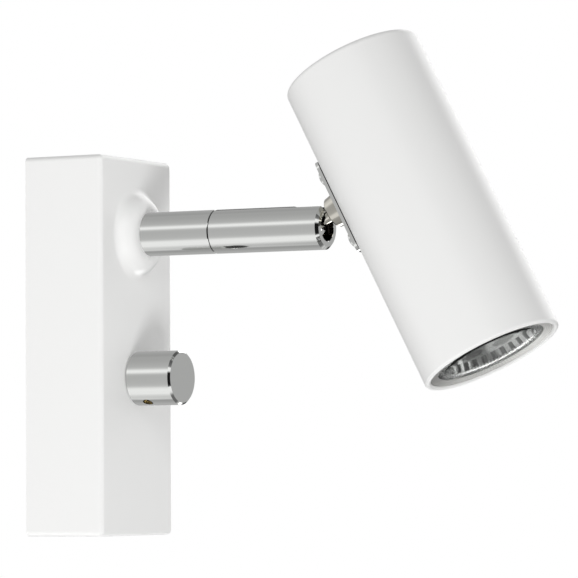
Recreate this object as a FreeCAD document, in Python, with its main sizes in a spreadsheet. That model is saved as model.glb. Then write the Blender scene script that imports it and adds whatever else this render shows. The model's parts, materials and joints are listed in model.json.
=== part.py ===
import FreeCAD, Part
import math
import os

import Sketcher

# Pivoting spotlight wall light, in millimetres. The wall is the plane y = 0 and the light stands out along
# -Y, with +Z up. The origin is the centre of the wall box's back.
# Every driving dimension is written once here and goes into the sheet "dims" of the document.
dimensions = {
    # wall box
    "box_width": 60.0,
    "box_height": 160.0,
    "box_depth": 37.0,
    "box_edge": 2.2,
    "sheet": 1.2,
    "boss_radius": 20.0,
    "boss_rise": 6.4,
    "boss_land": 10.2,
    "boss_base_share": 0.35,
    "arm_drop": 32.5,
    "knob_drop": 61.0,
    # wall plate and what is fixed to it
    "plate_thickness": 1.5,
    "plate_gap": 0.5,
    "lug_width": 16.0,
    "lug_depth": 13.0,
    "lug_gap": 0.15,
    "cover_screw_out": 7.8,
    "slot_pitch": 120.0,
    "slot_width": 5.0,
    "slot_length": 10.0,
    "cable_drop": 26.0,
    "cable_hole": 14.0,
    "cable_bore": 8.0,
    "grommet_back": 0.2,
    "grommet_flange": 2.0,
    "grommet_lip": 1.6,
    "grommet_collar": 1.2,
    "terminal_foot": 21.5,
    "terminal_width": 30.0,
    "terminal_height": 18.0,
    "terminal_depth": 15.0,
    "terminal_shoulder": 10.8,
    "terminal_pitch": 9.0,
    "terminal_row": 10.0,
    "terminal_well": 6.0,
    "terminal_step": 1.0,
    "terminal_wall": 0.7,
    "earth_inset": 11.0,
    "earth_lift": 22.0,
    # screws: shanks, heads and their recesses
    "m3": 3.0,
    "m3_head": 5.6,
    "m3_rise": 1.9,
    "m4": 4.0,
    "m4_head": 7.0,
    "m4_rise": 2.7,
    "screw_slot": 0.7,
    "screw_overrun": 1.5,
    "washer_thickness": 0.8,
    "washer_border": 1.2,
    "nut_height": 4.0,
    # clearances, from fitted threads to loose holes
    "thread_gap": 0.02,
    "running_gap": 0.04,
    "flush_gap": 0.05,
    "seat_gap": 0.1,
    "hole_gap": 0.2,
    "lead_gap": 0.3,
    # broken edges on turned parts
    "edge_break": 0.2,
    "fine_edge": 0.3,
    "lead_in": 0.5,
    "ceramic_edge": 0.8,
    # dimmer and knob
    "dimmer_width": 34.0,
    "dimmer_height": 40.0,
    "dimmer_depth": 16.0,
    "dimmer_corner": 2.0,
    "dimmer_groove": 2.0,
    "groove_depth": 1.2,
    "bush_diameter": 10.0,
    "bush_stand": 4.0,
    "dimmer_washer": 0.6,
    "dimmer_nut": 13.0,
    "dimmer_nut_height": 2.2,
    "shaft_diameter": 6.0,
    "shaft_length": 25.0,
    "shaft_flat": 0.6,
    "knob_diameter": 23.0,
    "knob_length": 21.1,
    "knob_gap": 0.8,
    "knob_chamfer": 0.9,
    "knob_skirt": 2.4,
    "knob_recess": 4.6,
    "knob_angle": -26.0,
    "grub_height": 7.2,
    "grub_diameter": 4.4,
    "grub_length": 6.0,
    "grub_socket": 2.0,
    # arm
    "arm_diameter": 18.5,
    "arm_base_length": 32.6,
    "seam_gap": 0.3,
    "sleeve_length": 51.6,
    "sleeve_chamfer": 1.2,
    "nipple_diameter": 10.0,
    "nipple_bore": 7.0,
    "nipple_engaged": 11.0,
    "nipple_inside": 7.0,
    "arm_nut": 14.0,
    "spigot_diameter": 12.0,
    "spigot_length": 15.5,
    "spigot_end_gap": 0.3,
    "snap_wire": 1.2,
    "snap_share": 0.75,
    "snap_opening": 25.0,
    "snap_from_seam": 11.5,
    "plug_length": 22.0,
    "lead_bore": 3.5,
    "lead_diameter": 1.4,
    # ball knuckle
    "ball_diameter": 14.0,
    "ball_from_end": 8.4,
    "ball_gap": 0.08,
    "ball_flat": 5.6,
    "mouth_diameter": 11.2,
    "slot_across": 6.4,
    "slot_from_end": 15.5,
    "seat_length": 9.0,
    "seat_behind": 3.0,
    "seat_bore": 6.7,
    "disc_bore": 5.9,
    "disc_thickness": 0.8,
    "disc_count": 6,
    "neck_diameter": 5.6,
    "neck_blend": 0.9,
    "stem_journal": 5.0,
    "stem_collar": 6.8,
    "collar_depth": 1.2,
    "stem_bore": 3.0,
    "stem_thread": 8.0,
    "stem_nut": 13.0,
    "boss_face": 12.4,
    "stem_boss": 13.2,
    "stem_boss_flare": 0.9,
    # saddle and tube; the pivot's foot on the tube's axis is their origin
    "head_tilt": 27.4,
    "saddle_reach": 16.8,
    "saddle_thickness": 2.0,
    "saddle_length": 42.0,
    "saddle_width": 16.0,
    "saddle_corner": 4.0,
    "saddle_pitch": 29.0,
    "tube_wall": 2.5,
    "tube_above": 50.0,
    "tube_below": 87.0,
    "tube_top_round": 1.8,
    "tube_inner_round": 1.0,
    "tube_rim_round": 1.1,
    "bracket_width": 14.0,
    "bracket_thickness": 1.5,
    "bracket_above": 20.0,
    "bracket_past": 11.0,
    "bracket_bend": 1.0,
    # lamp and its holder
    "lamp_diameter": 50.4,
    "lamp_gap": 2.05,
    "lamp_recess": 0.8,
    "ring_wall": 0.8,
    "ring_lip": 0.9,
    "ring_edge": 0.4,
    "ring_depth": 5.0,
    "glass_thickness": 1.5,
    "reflector_throat": 17.0,
    "reflector_depth": 24.0,
    "reflector_wall": 1.6,
    "facet_rings": 7,
    "facets_round": 32,
    "burner_diameter": 9.0,
    "burner_length": 14.0,
    "base_diameter": 25.0,
    "base_foot": 19.0,
    "base_length": 20.0,
    "base_cylinder": 7.0,
    "base_foot_length": 4.0,
    "pin_pitch": 10.0,
    "pin_head": 5.0,
    "pin_head_length": 3.0,
    "pin_neck": 3.0,
    "pin_length": 7.0,
    "holder_diameter": 26.0,
    "holder_length": 20.4,
    "holder_front": 11.2,
    "holder_step": 1.5,
    "holder_pitch": 15.0,
    "holder_thread": 7.0,
    # leads
    "dimmer_feed": 12.0,
    "dimmer_outlet": 6.0,
    "lead_turn": 15.0,
}

doc = FreeCAD.newDocument("spotlight")
sheet = doc.addObject("Spreadsheet::Sheet", "dims")
for row, (alias, number) in enumerate(dimensions.items(), 1):
    sheet.set(f"A{row}", alias)
    sheet.set(f"B{row}", str(number))
    sheet.setAlias(f"B{row}", alias)
doc.recompute()


class Size:
    """A length or angle with its formula, so that one sum sets both the value and its binding."""

    def __init__(self, value, text):
        self.value = float(value)
        self.text = text

    def joined(self, other, sign, value):
        return Size(value, f"({self.text} {sign} {other.text})")

    def __add__(self, other):
        other = size(other)
        return self.joined(other, "+", self.value + other.value)

    def __sub__(self, other):
        other = size(other)
        return self.joined(other, "-", self.value - other.value)

    def __mul__(self, other):
        other = size(other)
        return self.joined(other, "*", self.value * other.value)

    def __truediv__(self, other):
        other = size(other)
        return self.joined(other, "/", self.value / other.value)

    def __radd__(self, other):
        return size(other) + self

    def __rsub__(self, other):
        return size(other) - self

    def __rmul__(self, other):
        return size(other) * self

    def __neg__(self):
        return Size(-self.value, f"(-{self.text})")


def size(number):
    """A plain number as a Size; a Size stays as it is."""
    return number if isinstance(number, Size) else Size(number, repr(float(number)))


def root(square):
    return Size(math.sqrt(square.value), f"sqrt({square.text})")


def sine(angle):
    return Size(math.sin(math.radians(angle.value)), f"sin({angle.text})")


def cosine(angle):
    return Size(math.cos(math.radians(angle.value)), f"cos({angle.text})")


def leg(hypotenuse, side):
    """The other leg of a right triangle."""
    return root(hypotenuse * hypotenuse - side * side)


dim = {alias: Size(sheet.get(alias), f"dims.{alias}") for alias in dimensions}
zero, above, below = size(0), size(1), size(-1)


# Document helpers

def new_body(label):
    body = doc.addObject("PartDesign::Body", label)
    body.Label = label
    body.AllowCompound = True
    return body


def plane_of(body, role):
    return next(item for item in body.Origin.OriginFeatures if item.Role == role)


def bind(target, path, value):
    target.setExpression(path, size(value).text)


def place(body, across, out, up, turn):
    """Put a body's origin at a distance out from the wall and turn the body about the X axis."""
    body.Placement = FreeCAD.Placement(FreeCAD.Vector(), FreeCAD.Rotation(FreeCAD.Vector(1, 0, 0), 1))
    bind(body, "Placement.Base.x", across)
    bind(body, "Placement.Base.y", -size(out))
    bind(body, "Placement.Base.z", up)
    bind(body, "Placement.Rotation.Angle", turn)


def arc_between(start, end, radius):
    """Minor arc from start to end: a positive radius turns left on the way, a negative one right."""
    middle = (start + end) * 0.5
    chord = end - start
    left = FreeCAD.Vector(-chord.y, chord.x, 0).normalize()
    drop = math.sqrt(max(radius * radius - chord.Length ** 2 / 4, 0.0))
    centre = middle + left * math.copysign(drop, radius)
    first, last = (start, end) if radius > 0 else (end, start)
    angles = [math.atan2(point.y - centre.y, point.x - centre.x) for point in (first, last)]
    circle = Part.Circle(centre, FreeCAD.Vector(0, 0, 1), abs(radius))
    return Part.ArcOfCircle(circle, *angles)


def hold_point(sketch, geometry, position, x, y):
    """Fix one point of a sketch at two sizes."""
    for axis, value, line in (("X", x, -2), ("Y", y, -1)):
        value = size(value)
        if value.text == zero.text:
            sketch.addConstraint(Sketcher.Constraint("PointOnObject", geometry, position, line))
            continue
        rule = Sketcher.Constraint("Distance" + axis, -1, 1, geometry, position, value.value)
        bind(sketch, f"Constraints[{sketch.addConstraint(rule)}]", value)


def hold_radius(sketch, geometry, radius):
    rule = Sketcher.Constraint("Radius", geometry, abs(radius.value))
    bind(sketch, f"Constraints[{sketch.addConstraint(rule)}]", radius if radius.value > 0 else -radius)


def draw_outline(sketch, points):
    """Closed outline. Each point is (x, y), or (x, y, radius) where an arc leads on to the next point."""
    first = sketch.GeometryCount
    corners = [FreeCAD.Vector(size(p[0]).value, size(p[1]).value, 0) for p in points]
    starts = []
    ends = []
    for index, point in enumerate(points):
        start, end = corners[index], corners[(index + 1) % len(points)]
        geometry = first + index
        turned_right = len(point) == 3 and size(point[2]).value < 0
        starts.append((geometry, 2 if turned_right else 1))
        ends.append((geometry, 1 if turned_right else 2))
        if len(point) == 3:
            sketch.addGeometry(arc_between(start, end, size(point[2]).value), False)
        else:
            sketch.addGeometry(Part.LineSegment(start, end), False)
    for index, point in enumerate(points):
        following = starts[(index + 1) % len(points)]
        sketch.addConstraint(Sketcher.Constraint("Coincident", *ends[index], *following))
        hold_point(sketch, *starts[index], point[0], point[1])
        if len(point) == 3:
            hold_radius(sketch, first + index, size(point[2]))


def draw_circle(sketch, x, y, radius):
    centre = FreeCAD.Vector(size(x).value, size(y).value, 0)
    geometry = sketch.addGeometry(Part.Circle(centre, FreeCAD.Vector(0, 0, 1), size(radius).value), False)
    hold_point(sketch, geometry, 3, x, y)
    hold_radius(sketch, geometry, size(radius))


def draw(body, role, shapes, lift=0, turn=None, shift=0):
    """Sketch on one of the body's own planes: circles are (x, y, r) tuples, outlines are lists of points."""
    sketch = body.newObject("Sketcher::SketchObject", body.Name + "_sketch")
    sketch.AttachmentSupport = (plane_of(body, role), [""])
    sketch.MapMode = "FlatFace"
    if turn is not None:
        axis = FreeCAD.Rotation(FreeCAD.Vector(0, 1, 0), 1)
        sketch.AttachmentOffset = FreeCAD.Placement(FreeCAD.Vector(), axis)
        bind(sketch, "AttachmentOffset.Rotation.Angle", turn)
    bind(sketch, "AttachmentOffset.Base.x", shift)
    bind(sketch, "AttachmentOffset.Base.z", lift)
    for shape in shapes:
        if isinstance(shape, tuple):
            draw_circle(sketch, *shape)
        else:
            draw_outline(sketch, shape)
    return sketch


def extrude(body, kind, sketch, length, forward=True, both=False):
    """Pad or pocket. Forward is along the sketch's normal; with no length it goes through everything."""
    feature = body.newObject("PartDesign::" + kind, body.Name + "_" + kind)
    feature.Profile = sketch
    feature.Reversed = forward == (kind == "Pocket")
    if both:
        feature.SideType = "Symmetric"
    if length is None:
        feature.Type = "ThroughAll"
    else:
        bind(feature, "Length", length)
    return feature


def revolve(body, kind, sketch, angle=360):
    """Revolution or groove about the sketch's own upright axis."""
    feature = body.newObject("PartDesign::" + kind, body.Name + "_" + kind)
    feature.Profile = sketch
    feature.ReferenceAxis = (sketch, ["V_Axis"])
    bind(feature, "Angle", angle)
    return feature


def turned(label, *outlines):
    """A turned piece: its outlines are (radius, height) and its axis is the body's own Z."""
    body = new_body(label)
    revolve(body, "Revolution", draw(body, "XZ_Plane", outlines))
    return body


def dress(body, kind, amount, chosen):
    """Fillet or chamfer the edges of the body's last feature that the test picks."""
    doc.recompute()
    base = body.Tip
    names = [f"Edge{i}" for i, edge in enumerate(base.Shape.Edges, 1) if chosen(edge)]
    feature = body.newObject("PartDesign::" + kind, body.Name + "_" + kind)
    feature.Base = (base, names)
    bind(feature, "Radius" if kind == "Fillet" else "Size", amount)
    return feature


def copy_along(body, features, axis_role, distance):
    """Repeat the features once, at this distance along one of the body's own axes."""
    pattern = body.newObject("PartDesign::LinearPattern", body.Name + "_copy")
    pattern.Originals = features
    pattern.Direction = (plane_of(body, axis_role), [""])
    pattern.Occurrences = 2
    bind(pattern, "Length", distance)
    body.Tip = pattern


# Outlines

def rectangle(left, bottom, right, top):
    return [(left, bottom), (right, bottom), (right, top), (left, top)]


def rounded_rectangle(half_width, half_height, radius):
    x, y, r = half_width, half_height, radius
    return [
        (-x + r, -y), (x - r, -y, r), (x, -y + r), (x, y - r, r),
        (x - r, y), (-x + r, y, r), (-x, y - r), (-x, -y + r, r),
    ]


def upright_slot(x, y, radius, half_length):
    """Slot with round ends, each end drawn as two quarter arcs."""
    reach = half_length - radius
    return [
        (x + radius, y - reach), (x + radius, y + reach, radius), (x, y + half_length, radius),
        (x - radius, y + reach), (x - radius, y - reach, radius), (x, y - half_length, radius),
    ]


def hexagon(across):
    radius = across / 3 ** 0.5
    return [
        (radius, 0), (radius / 2, across / 2), (-radius / 2, across / 2),
        (-radius, 0), (-radius / 2, -across / 2), (radius / 2, -across / 2),
    ]


# Nuts and screws

def nut(label, across, bore, low, height):
    body = new_body(label)
    sketch = draw(body, "XY_Plane", [hexagon(across), (0, 0, bore)], lift=low)
    extrude(body, "Pad", sketch, height)
    return body


def pan_screw(label, thread, length, distance=None):
    """Domed head with a crossed recess; the head's seat is at height 0 and the shank points down."""
    crown_share, cross_reach, cross_half_width, cross_depth = 0.45, 0.27, 0.06, 0.55
    head, rise, shank = dim[thread + "_head"], dim[thread + "_rise"], dim[thread] / 2
    edge, crown = dim["fine_edge"], rise * crown_share
    dome = (head / 2 * (head / 2) + crown * crown) / (2 * crown)
    body = turned(label, [
        (0, -length), (shank - edge, -length), (shank, -length + edge), (shank, 0), (head / 2, 0),
        (head / 2, rise - crown, dome), (0, rise),
    ])
    features = [body.Tip]
    reach, half = head * cross_reach, head * cross_half_width
    for bar in (rectangle(-reach, -half, reach, half), rectangle(-half, -reach, half, reach)):
        sketch = draw(body, "XY_Plane", [bar], lift=rise)
        features.append(extrude(body, "Pocket", sketch, rise * cross_depth, False))
    if distance is not None:
        copy_along(body, features, "Y_Axis", distance)
    return body


# Levels that several pieces share, measured out from the wall along the arm or the knob

arm_height = dim["box_height"] / 2 - dim["arm_drop"]
knob_height = arm_height - dim["knob_drop"]
cable_height = arm_height - dim["cable_drop"]
terminal_level = dim["terminal_foot"] - dim["box_height"] / 2
earth_side = dim["box_width"] / 2 - dim["earth_inset"]
lug_outer = dim["box_height"] / 2 - dim["sheet"] - dim["lug_gap"]
inner_front = dim["box_depth"] - dim["sheet"]
boss_top = dim["box_depth"] + dim["boss_rise"]
base_end = boss_top + dim["arm_base_length"]
sleeve_start = base_end + dim["seam_gap"]
sleeve_end = sleeve_start + dim["sleeve_length"]
ball_out = sleeve_end - dim["ball_from_end"]
arm_radius = dim["arm_diameter"] / 2
spigot_bore = dim["spigot_diameter"] / 2 + dim["running_gap"]
spigot_floor = base_end - dim["spigot_length"]
snap_level = base_end - dim["snap_from_seam"]
snap_half_width = dim["snap_wire"] / 2 + dim["flush_gap"]
snap_bed = spigot_bore + dim["snap_wire"] * dim["snap_share"]
socket_radius = dim["ball_diameter"] / 2 + dim["ball_gap"]
plug_end = sleeve_start + dim["plug_length"]
seat_front = ball_out - dim["seat_behind"]
seat_start = seat_front - dim["seat_length"]
collar_level = dim["ball_flat"] - dim["collar_depth"]
lead_radius = dim["lead_diameter"] / 2
lead_offset = lead_radius + dim["thread_gap"]
dimmer_back = inner_front - dim["dimmer_depth"]
shaft_floor = inner_front - dim["dimmer_depth"] / 2
shaft_start = shaft_floor + dim["seat_gap"]
shaft_end = shaft_start + dim["shaft_length"]
knob_start = dim["box_depth"] + dim["knob_gap"]
knob_floor = knob_start + dim["knob_recess"]
grub_level = knob_start + dim["grub_height"]

# Levels on the head, measured from the ball's centre along the neck or from the pivot's foot along the tube

tube_inner = dim["lamp_diameter"] / 2 + dim["lamp_gap"]
tube_radius = tube_inner + dim["tube_wall"]
saddle_outer = tube_radius + dim["saddle_thickness"]
tube_offset = dim["saddle_reach"] + saddle_outer
bracket_outer = leg(tube_inner - dim["running_gap"], dim["bracket_width"] / 2)
bracket_inner = bracket_outer - dim["bracket_thickness"]
lamp_front = dim["lamp_recess"] - dim["tube_below"]
ring_inner = dim["lamp_diameter"] / 2 - dim["ring_wall"]
glass_front = lamp_front + dim["ring_edge"]
glass_back = glass_front + dim["glass_thickness"]
mouth_radius = ring_inner - dim["reflector_wall"] - dim["seat_gap"]
throat_level = glass_back + dim["reflector_depth"]
reflector_back = throat_level + dim["reflector_wall"]
base_start = throat_level + dim["seat_gap"]
base_back = base_start + dim["base_length"]
holder_start = base_back + dim["seat_gap"]
holder_end = holder_start + dim["holder_length"]


def place_outward(body, height=arm_height):
    """Turned parts of the box and arm: the body's Z points out from the wall."""
    place(body, 0, 0, height, 90)


def place_on_head(body, y, z, turn, across=0):
    """Head parts: y and z are in the upright head, from the ball's centre, about which it is then tilted."""
    tilt = dim["head_tilt"]
    out = ball_out - y * cosine(tilt) - z * sine(tilt)
    up = arm_height - y * sine(tilt) + z * cosine(tilt)
    place(body, across, out, up, turn - tilt)


def place_on_tube(body):
    place_on_head(body, -tube_offset, zero, 0)


# Wall box

def boss_outline(offset, floor):
    """Half section of the pressed boss: two arcs of equal turn that meet on their chord, or their offset."""
    run = dim["boss_radius"] - dim["boss_land"]
    rise = dim["boss_rise"]
    reach = (run * run + rise * rise) / (2 * rise)
    share = dim["boss_base_share"]
    join_radius = dim["boss_radius"] - run * share - offset * run / reach
    join_height = dim["box_depth"] + rise * share - offset * (1 - rise / reach)
    top = boss_top - offset
    return [
        (0, floor), (dim["boss_radius"], floor),
        (dim["boss_radius"], dim["box_depth"] - offset, -(reach * share + offset)),
        (join_radius, join_height, reach * (1 - share) - offset),
        (dim["boss_land"], top), (0, top),
    ]


def on_level(edge, level):
    """True for an edge that lies in the plane at this height over the sketch plane."""
    box = edge.BoundBox
    return abs(box.ZMin - level.value) < 1e-4 and abs(box.ZMax - level.value) < 1e-4


def is_screw_rim(edge, half_height):
    """True for the round edges on the outer top and bottom faces."""
    box = edge.BoundBox
    return edge.isClosed() and box.YLength < 1e-4 and abs(abs(box.YMin) - half_height.value) < 1e-4


def make_housing():
    """Drawn box, open at the wall, with the boss pressed out of its front and four holes."""
    body = new_body("housing")
    half_width, half_height = dim["box_width"] / 2, dim["box_height"] / 2
    wall, inner_edge = dim["sheet"], dim["box_edge"] - dim["sheet"]
    outer = rounded_rectangle(half_width, half_height, dim["box_edge"])
    extrude(body, "Pad", draw(body, "XY_Plane", [outer]), dim["box_depth"])
    dress(body, "Fillet", dim["box_edge"], lambda edge: on_level(edge, dim["box_depth"]))
    inner = rounded_rectangle(half_width - wall, half_height - wall, inner_edge)
    extrude(body, "Pocket", draw(body, "XY_Plane", [inner]), inner_front)
    dress(body, "Fillet", inner_edge, lambda edge: on_level(edge, inner_front))
    over = boss_outline(zero, inner_front)
    revolve(body, "Revolution", draw(body, "XZ_Plane", [over], lift=-arm_height))
    under = boss_outline(wall, inner_front - wall / 2)
    revolve(body, "Groove", draw(body, "XZ_Plane", [under], lift=-arm_height))
    holes = [
        (0, arm_height, dim["nipple_diameter"] / 2 + dim["hole_gap"]),
        (0, knob_height, dim["bush_diameter"] / 2 + dim["hole_gap"]),
    ]
    extrude(body, "Pocket", draw(body, "XY_Plane", holes), None)
    screw_radius = dim["m3"] / 2 + dim["hole_gap"]
    screw_hole = draw(body, "XZ_Plane", [(0, dim["cover_screw_out"], screw_radius)])
    extrude(body, "Pocket", screw_hole, None, both=True)
    sink = dim["m3_head"] / 2 - screw_radius
    dress(body, "Chamfer", sink, lambda edge: is_screw_rim(edge, half_height))
    place(body, 0, 0, 0, 90)


def make_wall_plate():
    """Flat plate with two lugs for the housing, wall slots, the cable's hole and tapped holes."""
    body = new_body("wall_plate")
    thick = dim["plate_thickness"]
    half_width = dim["box_width"] / 2 - dim["sheet"] - dim["plate_gap"]
    plate = rounded_rectangle(half_width, lug_outer, dim["box_edge"])
    extrude(body, "Pad", draw(body, "XY_Plane", [plate]), thick)
    lug = dim["lug_width"] / 2
    lugs = [
        rectangle(-lug, lug_outer - thick, lug, lug_outer),
        rectangle(-lug, -lug_outer, lug, -lug_outer + thick),
    ]
    extrude(body, "Pad", draw(body, "XY_Plane", lugs), dim["lug_depth"])
    slot = dim["slot_width"] / 2, dim["slot_length"] / 2
    openings = [upright_slot(0, side * dim["slot_pitch"] / 2, *slot) for side in (above, below)]
    openings.append((0, cable_height, dim["cable_hole"] / 2))
    openings.append((earth_side, dim["earth_lift"], dim["m4"] / 2 + dim["thread_gap"]))
    openings.append((dim["terminal_pitch"] / 2, terminal_level, dim["m3"] / 2 + dim["thread_gap"]))
    extrude(body, "Pocket", draw(body, "XY_Plane", openings), None)
    tapped = (0, dim["cover_screw_out"], dim["m3"] / 2 + dim["thread_gap"])
    extrude(body, "Pocket", draw(body, "XZ_Plane", [tapped]), None, both=True)
    place(body, 0, 0, 0, 90)


def make_cover_screws():
    """Two countersunk screws, heads flush with the top and bottom of the housing."""
    body = new_body("cover_screws")
    head = dim["m3_head"] / 2 - 2 * dim["flush_gap"]
    shank = dim["m3"] / 2
    top = dim["box_height"] / 2 - dim["flush_gap"]
    tip = lug_outer - dim["plate_thickness"] - dim["screw_overrun"]
    neck = top - (head - shank)
    upper = [(0, tip), (shank, tip), (shank, neck), (head, top), (0, top)]
    lower = [(0, -tip), (0, -top), (head, -top), (shank, -neck), (shank, -tip)]
    revolve(body, "Revolution", draw(body, "XZ_Plane", [upper, lower]))
    depth = dim["screw_slot"]
    slots = [rectangle(-head, side * top - depth, head, side * top + depth) for side in (above, below)]
    extrude(body, "Pocket", draw(body, "XZ_Plane", slots), depth, both=True)
    place(body, 0, dim["cover_screw_out"], 0, 0)


def make_cable_grommet():
    """Flanged rubber bush pushed into the plate's cable hole from the front."""
    back, bore, collar = dim["grommet_back"], dim["cable_bore"] / 2, dim["grommet_collar"]
    hole = dim["cable_hole"] / 2 - dim["thread_gap"]
    flange = dim["cable_hole"] / 2 + dim["grommet_flange"]
    thick, edge = dim["plate_thickness"], dim["lead_in"]
    top = thick + dim["grommet_lip"]
    body = turned("cable_grommet", [
        (bore, back), (hole, back), (hole, thick), (flange, thick), (flange, top - edge, edge),
        (flange - edge, top), (bore + collar, top), (bore, top + collar),
    ])
    place_outward(body, cable_height)


# Mains terminal block and earth point

def block_poles():
    return [dim["terminal_pitch"] * step for step in (-1, 0, 1)]


def block_screw_places():
    row = dim["terminal_row"] / 2
    return [(x, terminal_level + side * row) for x in block_poles() for side in (below, above)]


def make_terminal_block():
    """Three-pole block: a foot, three posts, screw wells, a fixing hole and wire entries in its top end."""
    body = new_body("terminal_block")
    half_width, half_height = dim["terminal_width"] / 2, dim["terminal_height"] / 2
    base, top = dim["plate_thickness"], dim["plate_thickness"] + dim["terminal_depth"]
    low, high = terminal_level - half_height, terminal_level + half_height
    foot = rectangle(-half_width, low, half_width, high)
    extrude(body, "Pad", draw(body, "XY_Plane", [foot], lift=base), dim["terminal_shoulder"])
    step = dim["terminal_step"]
    post = dim["terminal_pitch"] / 2 - dim["terminal_wall"]
    posts = [rectangle(x - post, low + step, x + post, high - step) for x in block_poles()]
    extrude(body, "Pad", draw(body, "XY_Plane", posts, lift=base), dim["terminal_depth"])
    well = dim["m3"] / 2 + dim["hole_gap"]
    wells = [(x, y, well) for x, y in block_screw_places()]
    extrude(body, "Pocket", draw(body, "XY_Plane", wells, lift=top), dim["terminal_well"], False)
    fixing = dim["terminal_pitch"] / 2, terminal_level
    shank = (*fixing, dim["m3"] / 2 + dim["hole_gap"])
    extrude(body, "Pocket", draw(body, "XY_Plane", [shank]), None)
    head = (*fixing, dim["m3_head"] / 2 + dim["hole_gap"])
    extrude(body, "Pocket", draw(body, "XY_Plane", [head], lift=top), dim["terminal_depth"] / 2, False)
    wires = [(x, base + dim["terminal_depth"] / 2, lead_radius + dim["lead_gap"]) for x in block_poles()]
    extrude(body, "Pocket", draw(body, "XZ_Plane", wires, lift=-high), dim["terminal_well"], True)
    place(body, 0, 0, 0, 90)


def make_terminal_screws():
    """Slotted clamping screws, one at each end of each pole."""
    length_share = 0.7
    body = new_body("terminal_screws")
    floor = dim["plate_thickness"] + dim["terminal_depth"] - dim["terminal_well"]
    radius, length = dim["m3"] / 2, dim["terminal_well"] * length_share
    screws = [(x, y, radius) for x, y in block_screw_places()]
    extrude(body, "Pad", draw(body, "XY_Plane", screws, lift=floor), length)
    half = dim["screw_slot"] / 2
    slots = [rectangle(x - radius, y - half, x + radius, y + half) for x, y in block_screw_places()]
    extrude(body, "Pocket", draw(body, "XY_Plane", slots, lift=floor + length), dim["screw_slot"], False)
    place(body, 0, 0, 0, 90)


def make_plate_screws():
    """The block's fixing screw, and the earth screw with its washer."""
    plate = dim["plate_thickness"]
    seat = plate + dim["terminal_depth"] / 2
    fixing = pan_screw("terminal_fixing_screw", "m3", seat - dim["seat_gap"])
    place(fixing, dim["terminal_pitch"] / 2, seat, terminal_level, 90)
    seat = plate + dim["washer_thickness"]
    earth = pan_screw("earth_screw", "m4", seat - dim["seat_gap"])
    place(earth, earth_side, seat, dim["earth_lift"], 90)
    hole, outer = dim["m4"] / 2 + dim["hole_gap"], dim["m4_head"] / 2 + dim["washer_border"]
    washer = turned("earth_washer", rectangle(hole, plate, outer, seat))
    place(washer, earth_side, 0, dim["earth_lift"], 90)


# Dimmer and knob

def make_dimmer_body():
    """Grooved case behind the front sheet, with a threaded bush out through it."""
    body = new_body("dimmer_body")
    half_width, half_height = dim["dimmer_width"] / 2, dim["dimmer_height"] / 2
    case = rounded_rectangle(half_width, half_height, dim["dimmer_corner"])
    extrude(body, "Pad", draw(body, "XY_Plane", [case], lift=dimmer_back), dim["dimmer_depth"])
    groove, floor = dim["dimmer_groove"] / 2, half_width - dim["groove_depth"]
    rows = [half_height * share for share in (-0.6, -0.3, 0.0, 0.3, 0.6)]
    grooves = [rectangle(floor, y - groove, half_width + groove, y + groove) for y in rows]
    grooves += [rectangle(-half_width - groove, y - groove, -floor, y + groove) for y in rows]
    sketch = draw(body, "XY_Plane", grooves, lift=dimmer_back)
    extrude(body, "Pocket", sketch, dim["dimmer_depth"] - dim["dimmer_groove"], True)
    bush_end = dim["box_depth"] + dim["bush_stand"]
    bush = (0, 0, dim["bush_diameter"] / 2)
    extrude(body, "Pad", draw(body, "XY_Plane", [bush], lift=inner_front), bush_end - inner_front)
    bore = (0, 0, dim["shaft_diameter"] / 2 + dim["running_gap"])
    extrude(body, "Pocket", draw(body, "XY_Plane", [bore], lift=shaft_floor), bush_end - shaft_floor, True)
    place_outward(body, knob_height)


def make_dimmer_fixings():
    """Washer and nut on the bush, outside the sheet and inside the knob."""
    hole, front = dim["bush_diameter"] / 2, dim["box_depth"]
    top = front + dim["dimmer_washer"]
    border = dim["dimmer_nut"] / 2 + dim["washer_border"]
    washer = turned("dimmer_washer", rectangle(hole + dim["hole_gap"], front, border, top))
    place_outward(washer, knob_height)
    fixing = nut("dimmer_nut", dim["dimmer_nut"], hole + dim["thread_gap"], top, dim["dimmer_nut_height"])
    place_outward(fixing, knob_height)


def draw_along_grub(body, shape, distance):
    """Sketch that faces along the grub screw's axis, at a distance from the knob's axis."""
    angle = dim["knob_angle"]
    return draw(body, "XZ_Plane", [shape], distance * cosine(angle), angle, distance * sine(angle))


def make_dimmer_shaft():
    """Shaft with a flat that faces the grub screw."""
    radius, edge = dim["shaft_diameter"] / 2, dim["lead_in"]
    body = turned("dimmer_shaft", [
        (0, shaft_start), (radius, shaft_start), (radius, shaft_end - edge), (radius - edge, shaft_end),
        (0, shaft_end),
    ])
    beyond = rectangle(-radius, knob_floor + dim["edge_break"], radius, shaft_end + edge)
    flat = draw_along_grub(body, beyond, radius - dim["shaft_flat"])
    extrude(body, "Pocket", flat, radius, True)
    place_outward(body, knob_height)


def make_knob():
    """Chrome knob: recess over the bush's nut, blind bore for the shaft, chamfered front, grub-screw hole."""
    radius, chamfer, edge = dim["knob_diameter"] / 2, dim["knob_chamfer"], dim["fine_edge"]
    recess, bore = radius - dim["knob_skirt"], dim["shaft_diameter"] / 2 + dim["thread_gap"]
    end, bore_end = knob_start + dim["knob_length"], shaft_end + dim["seat_gap"]
    body = turned("knob", [
        (bore, knob_floor), (recess, knob_floor), (recess, knob_start), (radius - edge, knob_start),
        (radius, knob_start + edge), (radius, end - chamfer), (radius - chamfer, end), (0, end),
        (0, bore_end), (bore, bore_end),
    ])
    hole = (0, grub_level, dim["grub_diameter"] / 2 + dim["thread_gap"])
    extrude(body, "Pocket", draw_along_grub(body, hole, zero), None, True)
    place_outward(body, knob_height)


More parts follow.
